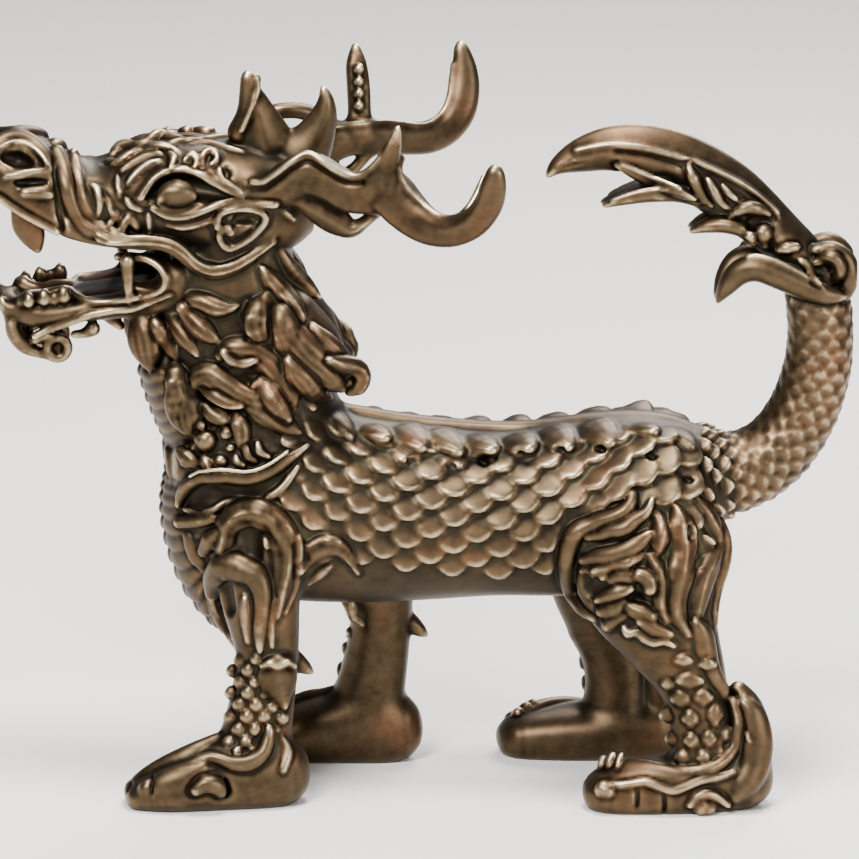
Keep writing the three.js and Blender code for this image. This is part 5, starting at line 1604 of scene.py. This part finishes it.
def finishWax(wax):
    # lightly smoothed, as a cast skin is, and kept within the CAD box and above the ground
    wax.field = np.clip(wax.field, -casting["reachMm"], casting["reachMm"])
    sideShare = round((1 - surface["smoothKeep"]) / 2, 6)
    for axis in range(3):
        padded = np.pad(wax.field, [(1, 1) if k == axis else (0, 0) for k in range(3)], mode="edge")
        ahead, behind = (
            tuple(slice(a, b) if k == axis else slice(None) for k in range(3)) for a, b in ((2, None), (0, -2))
        )
        wax.field = surface["smoothKeep"] * wax.field + sideShare * (padded[ahead] + padded[behind])
    x, y, z = wax.axes((0, 0, 0), wax.shape)
    inset = surface["insideMm"]
    shift = casting["castShift"]
    for k, coordinate in enumerate((x, y, z)):
        low, high = cadBox[0][k] * 1000 - shift[k] + inset, cadBox[1][k] * 1000 - shift[k] - inset
        if k == 2:
            low = 0.0
        beyond = np.maximum(np.float32(low) - coordinate, coordinate - np.float32(high))
        np.maximum(wax.field, beyond, out=wax.field)


def skinOf(field):
    grid = openvdb.FloatGrid(casting["reachMm"])
    grid.copyFromArray(field)
    places, quads = grid.convertToQuads(isovalue=0.0)
    return np.asarray(places, float), np.asarray(quads)


def grainKeys(places, shape):
    # one number for each cell that a corner of the skin lies in
    low = np.floor(places).astype(np.int64)
    return (low[:, 0] * shape[1] + low[:, 1]) * shape[2] + low[:, 2]


def partsOf(count, quads):
    # the number of the connected part that each face belongs to
    owner = np.arange(count)
    a, b = quads.ravel(), np.roll(quads, -1, axis=1).ravel()
    while True:
        low = np.minimum(owner[a], owner[b])
        before = owner.copy()
        np.minimum.at(owner, a, low)
        np.minimum.at(owner, b, low)
        owner = owner[owner]
        owner = owner[owner]
        if (owner == before).all():
            return owner[quads[:, 0]]


# The casting is cut into closed pieces, only to keep each mesh light. Every grain belongs to one piece.
pieceNames = (
    "head", "crown_and_antlers", "mane", "forequarters", "front_legs", "hindquarters", "hind_legs", "tail_and_leaf",
)
cutsMm = {
    "behindShoulders": 3.5,
    "maneFoot": 39, "maneEnd": -9,
    "headFoot": 53, "antlersEnd": 11,
    "jawEnd": -33.5, "jawFoot": 44,
    "brow": -21,
    "tailStart": 36, "tailFoot": 30, "leafFoot": 50,
    "knees": 17,
}


def pieceOf(x, z):
    at = cutsMm
    number = {name: i for i, name in enumerate(pieceNames)}
    owner = np.where(x < at["behindShoulders"], number["forequarters"], number["hindquarters"])
    owner[(z > at["maneFoot"]) & (x < at["maneEnd"])] = number["mane"]
    top = ((z > at["headFoot"]) & (x < at["antlersEnd"])) | ((x < at["jawEnd"]) & (z > at["jawFoot"]))
    owner[top] = number["crown_and_antlers"]
    owner[top & (x < at["brow"])] = number["head"]
    rear = ((x > at["tailStart"]) & (z > at["tailFoot"])) | ((x > at["antlersEnd"]) & (z > at["leafFoot"]))
    owner[rear] = number["tail_and_leaf"]
    for trunk, legs in (("forequarters", "front_legs"), ("hindquarters", "hind_legs")):
        owner[(z < at["knees"]) & (owner == number[trunk])] = number[legs]
    return owner


# blurred distances: ridges take rubbed wear with a painted highlight, hollows take patina with painted shade
def wearAndPaintedLightFields(wax):
    near = spread(wax.field, max(1, round(surface["edgeReachMm"] / wax.grain)))
    return near, spread(near, max(2, round(surface["hollowReachMm"] / wax.grain)))


def wearAndPaintedLightAt(wax, fields, points):
    keep, found = wax.field, []
    for field in fields:
        wax.field = field
        found.append(wax.at(points))
    wax.field = keep
    edge = np.clip((found[0] - surface["edgeFrom"]) / (surface["edgeTo"] - surface["edgeFrom"]), 0, 1)
    deep = np.clip((surface["hollowFrom"] - found[1]) / (surface["hollowFrom"] - surface["hollowTo"]), 0, 1)
    return {"edge": edge, "hollow": deep}


def pourPieces(wax):
    # the skin of the whole casting says where the cuts' corners lie and what hangs loose in the air
    places, quads = skinOf(wax.field)
    keys = grainKeys(places, wax.shape)
    parts = partsOf(len(places), quads)
    names, sizes = np.unique(parts, return_counts=True)
    loose = np.unique(keys[quads[parts != names[np.argmax(sizes)]]])
    print("loose crumbs left out:", len(names) - 1, sorted(sizes)[-4:-1])
    order = np.argsort(keys)
    x = wax.low[0] + wax.grain * np.arange(wax.shape[0])[:, None]
    z = wax.low[2] + wax.grain * np.arange(wax.shape[2])[None, :]
    owner = pieceOf(x + 0 * z, z + 0 * x)
    poured = []
    for index, name in enumerate(pieceNames):
        mine = owner == index
        own, faces = skinOf(np.where(mine[:, None, :], wax.field, np.float32(casting["reachMm"])))
        mineKeys = grainKeys(own, wax.shape)
        # at a cut, the corners that lie on the casting's skin stay where the whole skin has them
        i, k = np.floor(own[:, 0]).astype(int), np.floor(own[:, 2]).astype(int)
        atCut = ~(mine[i, k] & mine[i + 1, k] & mine[i, k + 1] & mine[i + 1, k + 1])
        match = order[np.minimum(np.searchsorted(keys, mineKeys, sorter=order), len(order) - 1)]
        held = atCut & (keys[match] == mineKeys)
        own[held] = places[match[held]]
        parts = partsOf(len(own), faces)
        crumb = np.isin(mineKeys[faces[:, 0]], loose)
        for part in np.unique(parts[crumb]):
            if crumb[parts == part].mean() > surface["looseShare"]:
                kept = parts != part
                faces, crumb, parts = faces[kept], crumb[kept], parts[kept]
        used, local = np.unique(faces, return_inverse=True)
        poured.append((name, own[used] * wax.grain + wax.low, local.reshape(-1, 4)))
        print("piece", name, len(faces), "faces")
    return poured


def buildPieces(wax, material):
    fields = wearAndPaintedLightFields(wax)
    made = []
    for name, points, quads in pourPieces(wax):
        mesh = bpy.data.meshes.new(name)
        mesh.vertices.add(len(points))
        placed = (points + np.array(casting["castShift"])) / 1000
        mesh.vertices.foreach_set("co", placed.astype(np.float32).ravel())
        mesh.loops.add(quads.size)
        mesh.loops.foreach_set("vertex_index", quads.astype(np.int32).ravel())
        mesh.polygons.add(len(quads))
        mesh.polygons.foreach_set("loop_start", np.arange(0, quads.size, 4, dtype=np.int32))
        mesh.update(calc_edges=True)
        for key, values in wearAndPaintedLightAt(wax, fields, points).items():
            mesh.attributes.new(key, "FLOAT", "POINT").data.foreach_set("value", values.astype(np.float32))
        mesh.normals_split_custom_set_from_vertices(wax.slope(points).astype(np.float32))
        mesh.materials.append(material)
        piece = bpy.data.objects.new("dragon_" + name, mesh)
        bpy.context.scene.collection.objects.link(piece)
        made.append(piece)
    return made


studio = {
    "floorColour": "#d9d6d0",
    "worldColour": "#c9ccd2",
    "worldStrength": 0.36,
    "keyWatts": 4.6,
    "overheadWatts": 3.6,
    "fillWatts": 1.2,
    "rimWatts": 2.2,
    "floorMm": 1800.0,
    "floorRoughness": 0.9,
    "lookAtMm": (0, 0, 42),
}


def makeStage():
    middle = np.array(casting["castShift"])
    shape = bmesh.new()
    bmesh.ops.create_grid(shape, x_segments=2, y_segments=2, size=studio["floorMm"] / 2000)
    mesh = bpy.data.meshes.new("floor")
    shape.to_mesh(mesh)
    shape.free()
    floor = bpy.data.objects.new("floor", mesh)
    bpy.context.scene.collection.objects.link(floor)
    plain = bpy.data.materials.new("matt_table")
    plain.use_nodes = True
    table = plain.node_tree.nodes["Principled BSDF"]
    table.inputs["Base Color"].default_value = linear(studio["floorColour"])
    table.inputs["Roughness"].default_value = studio["floorRoughness"]
    mesh.materials.append(plain)

    world = bpy.data.worlds.new("studio")
    bpy.context.scene.world = world
    world.use_nodes = True
    sky = world.node_tree.nodes["Background"].inputs
    sky["Color"].default_value = linear(studio["worldColour"])
    sky["Strength"].default_value = studio["worldStrength"]

    lamps = [  # place in mm, size in m
        ("key", (-160, -330, 330), 0.16, studio["keyWatts"]),
        ("overhead", (20, -60, 420), 0.14, studio["overheadWatts"]),
        ("fill", (260, -300, 120), 0.2, studio["fillWatts"]),
        ("rim", (120, 260, 300), 0.25, studio["rimWatts"]),
    ]
    target = Vector(studio["lookAtMm"]) / 1000
    for name, place, size, watts in lamps:
        lamp = bpy.data.lights.new(name, "AREA")
        lamp.shape, lamp.size, lamp.energy = "DISK", size, watts
        stand = bpy.data.objects.new(name, lamp)
        stand.location = Vector(place) / 1000
        stand.rotation_euler = (target - stand.location).to_track_quat("-Z", "Y").to_euler()
        bpy.context.scene.collection.objects.link(stand)

    turned = shot["rollRad"]
    right = viewRight * math.cos(turned) + viewUp * math.sin(turned)
    up = viewUp * math.cos(turned) - viewRight * math.sin(turned)
    place = (np.array(shot["targetMm"]) + middle - viewForward * shot["distanceMm"]) / 1000
    lens = bpy.data.cameras.new("camera")
    lens.lens = shot["sensorMm"] * shot["distanceMm"] / (shot["widthPixels"] * shot["mmPerPixel"])
    lens.sensor_width = shot["sensorMm"]
    lens.clip_end = 20  # m
    camera = bpy.data.objects.new("camera", lens)
    turn = Matrix((right, up, -viewForward)).transposed().to_4x4()
    camera.matrix_world = Matrix.Translation(place) @ turn
    bpy.context.scene.collection.objects.link(camera)
    bpy.context.scene.camera = camera


wax = Wax()
bodyCore(wax)
castBrass = makeCastBrass()
skin = (buildTileTree(), castBrass)
legCores(wax)
print("trunk and legs built up")
coverBody(wax, skin)
coverBack(wax, skin)
coverTail(wax, skin)
carveChest(wax)
carveMane(wax)
carveHead(wax)
carveShoulder(wax)
carveFrontLeg(wax)
carveThigh(wax)
carveHindLeg(wax)
carveLeaf(wax)
finishWax(wax)
for piece in buildPieces(wax, castBrass):
    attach(piece, "root")
    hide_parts("dragon")
makeStage()
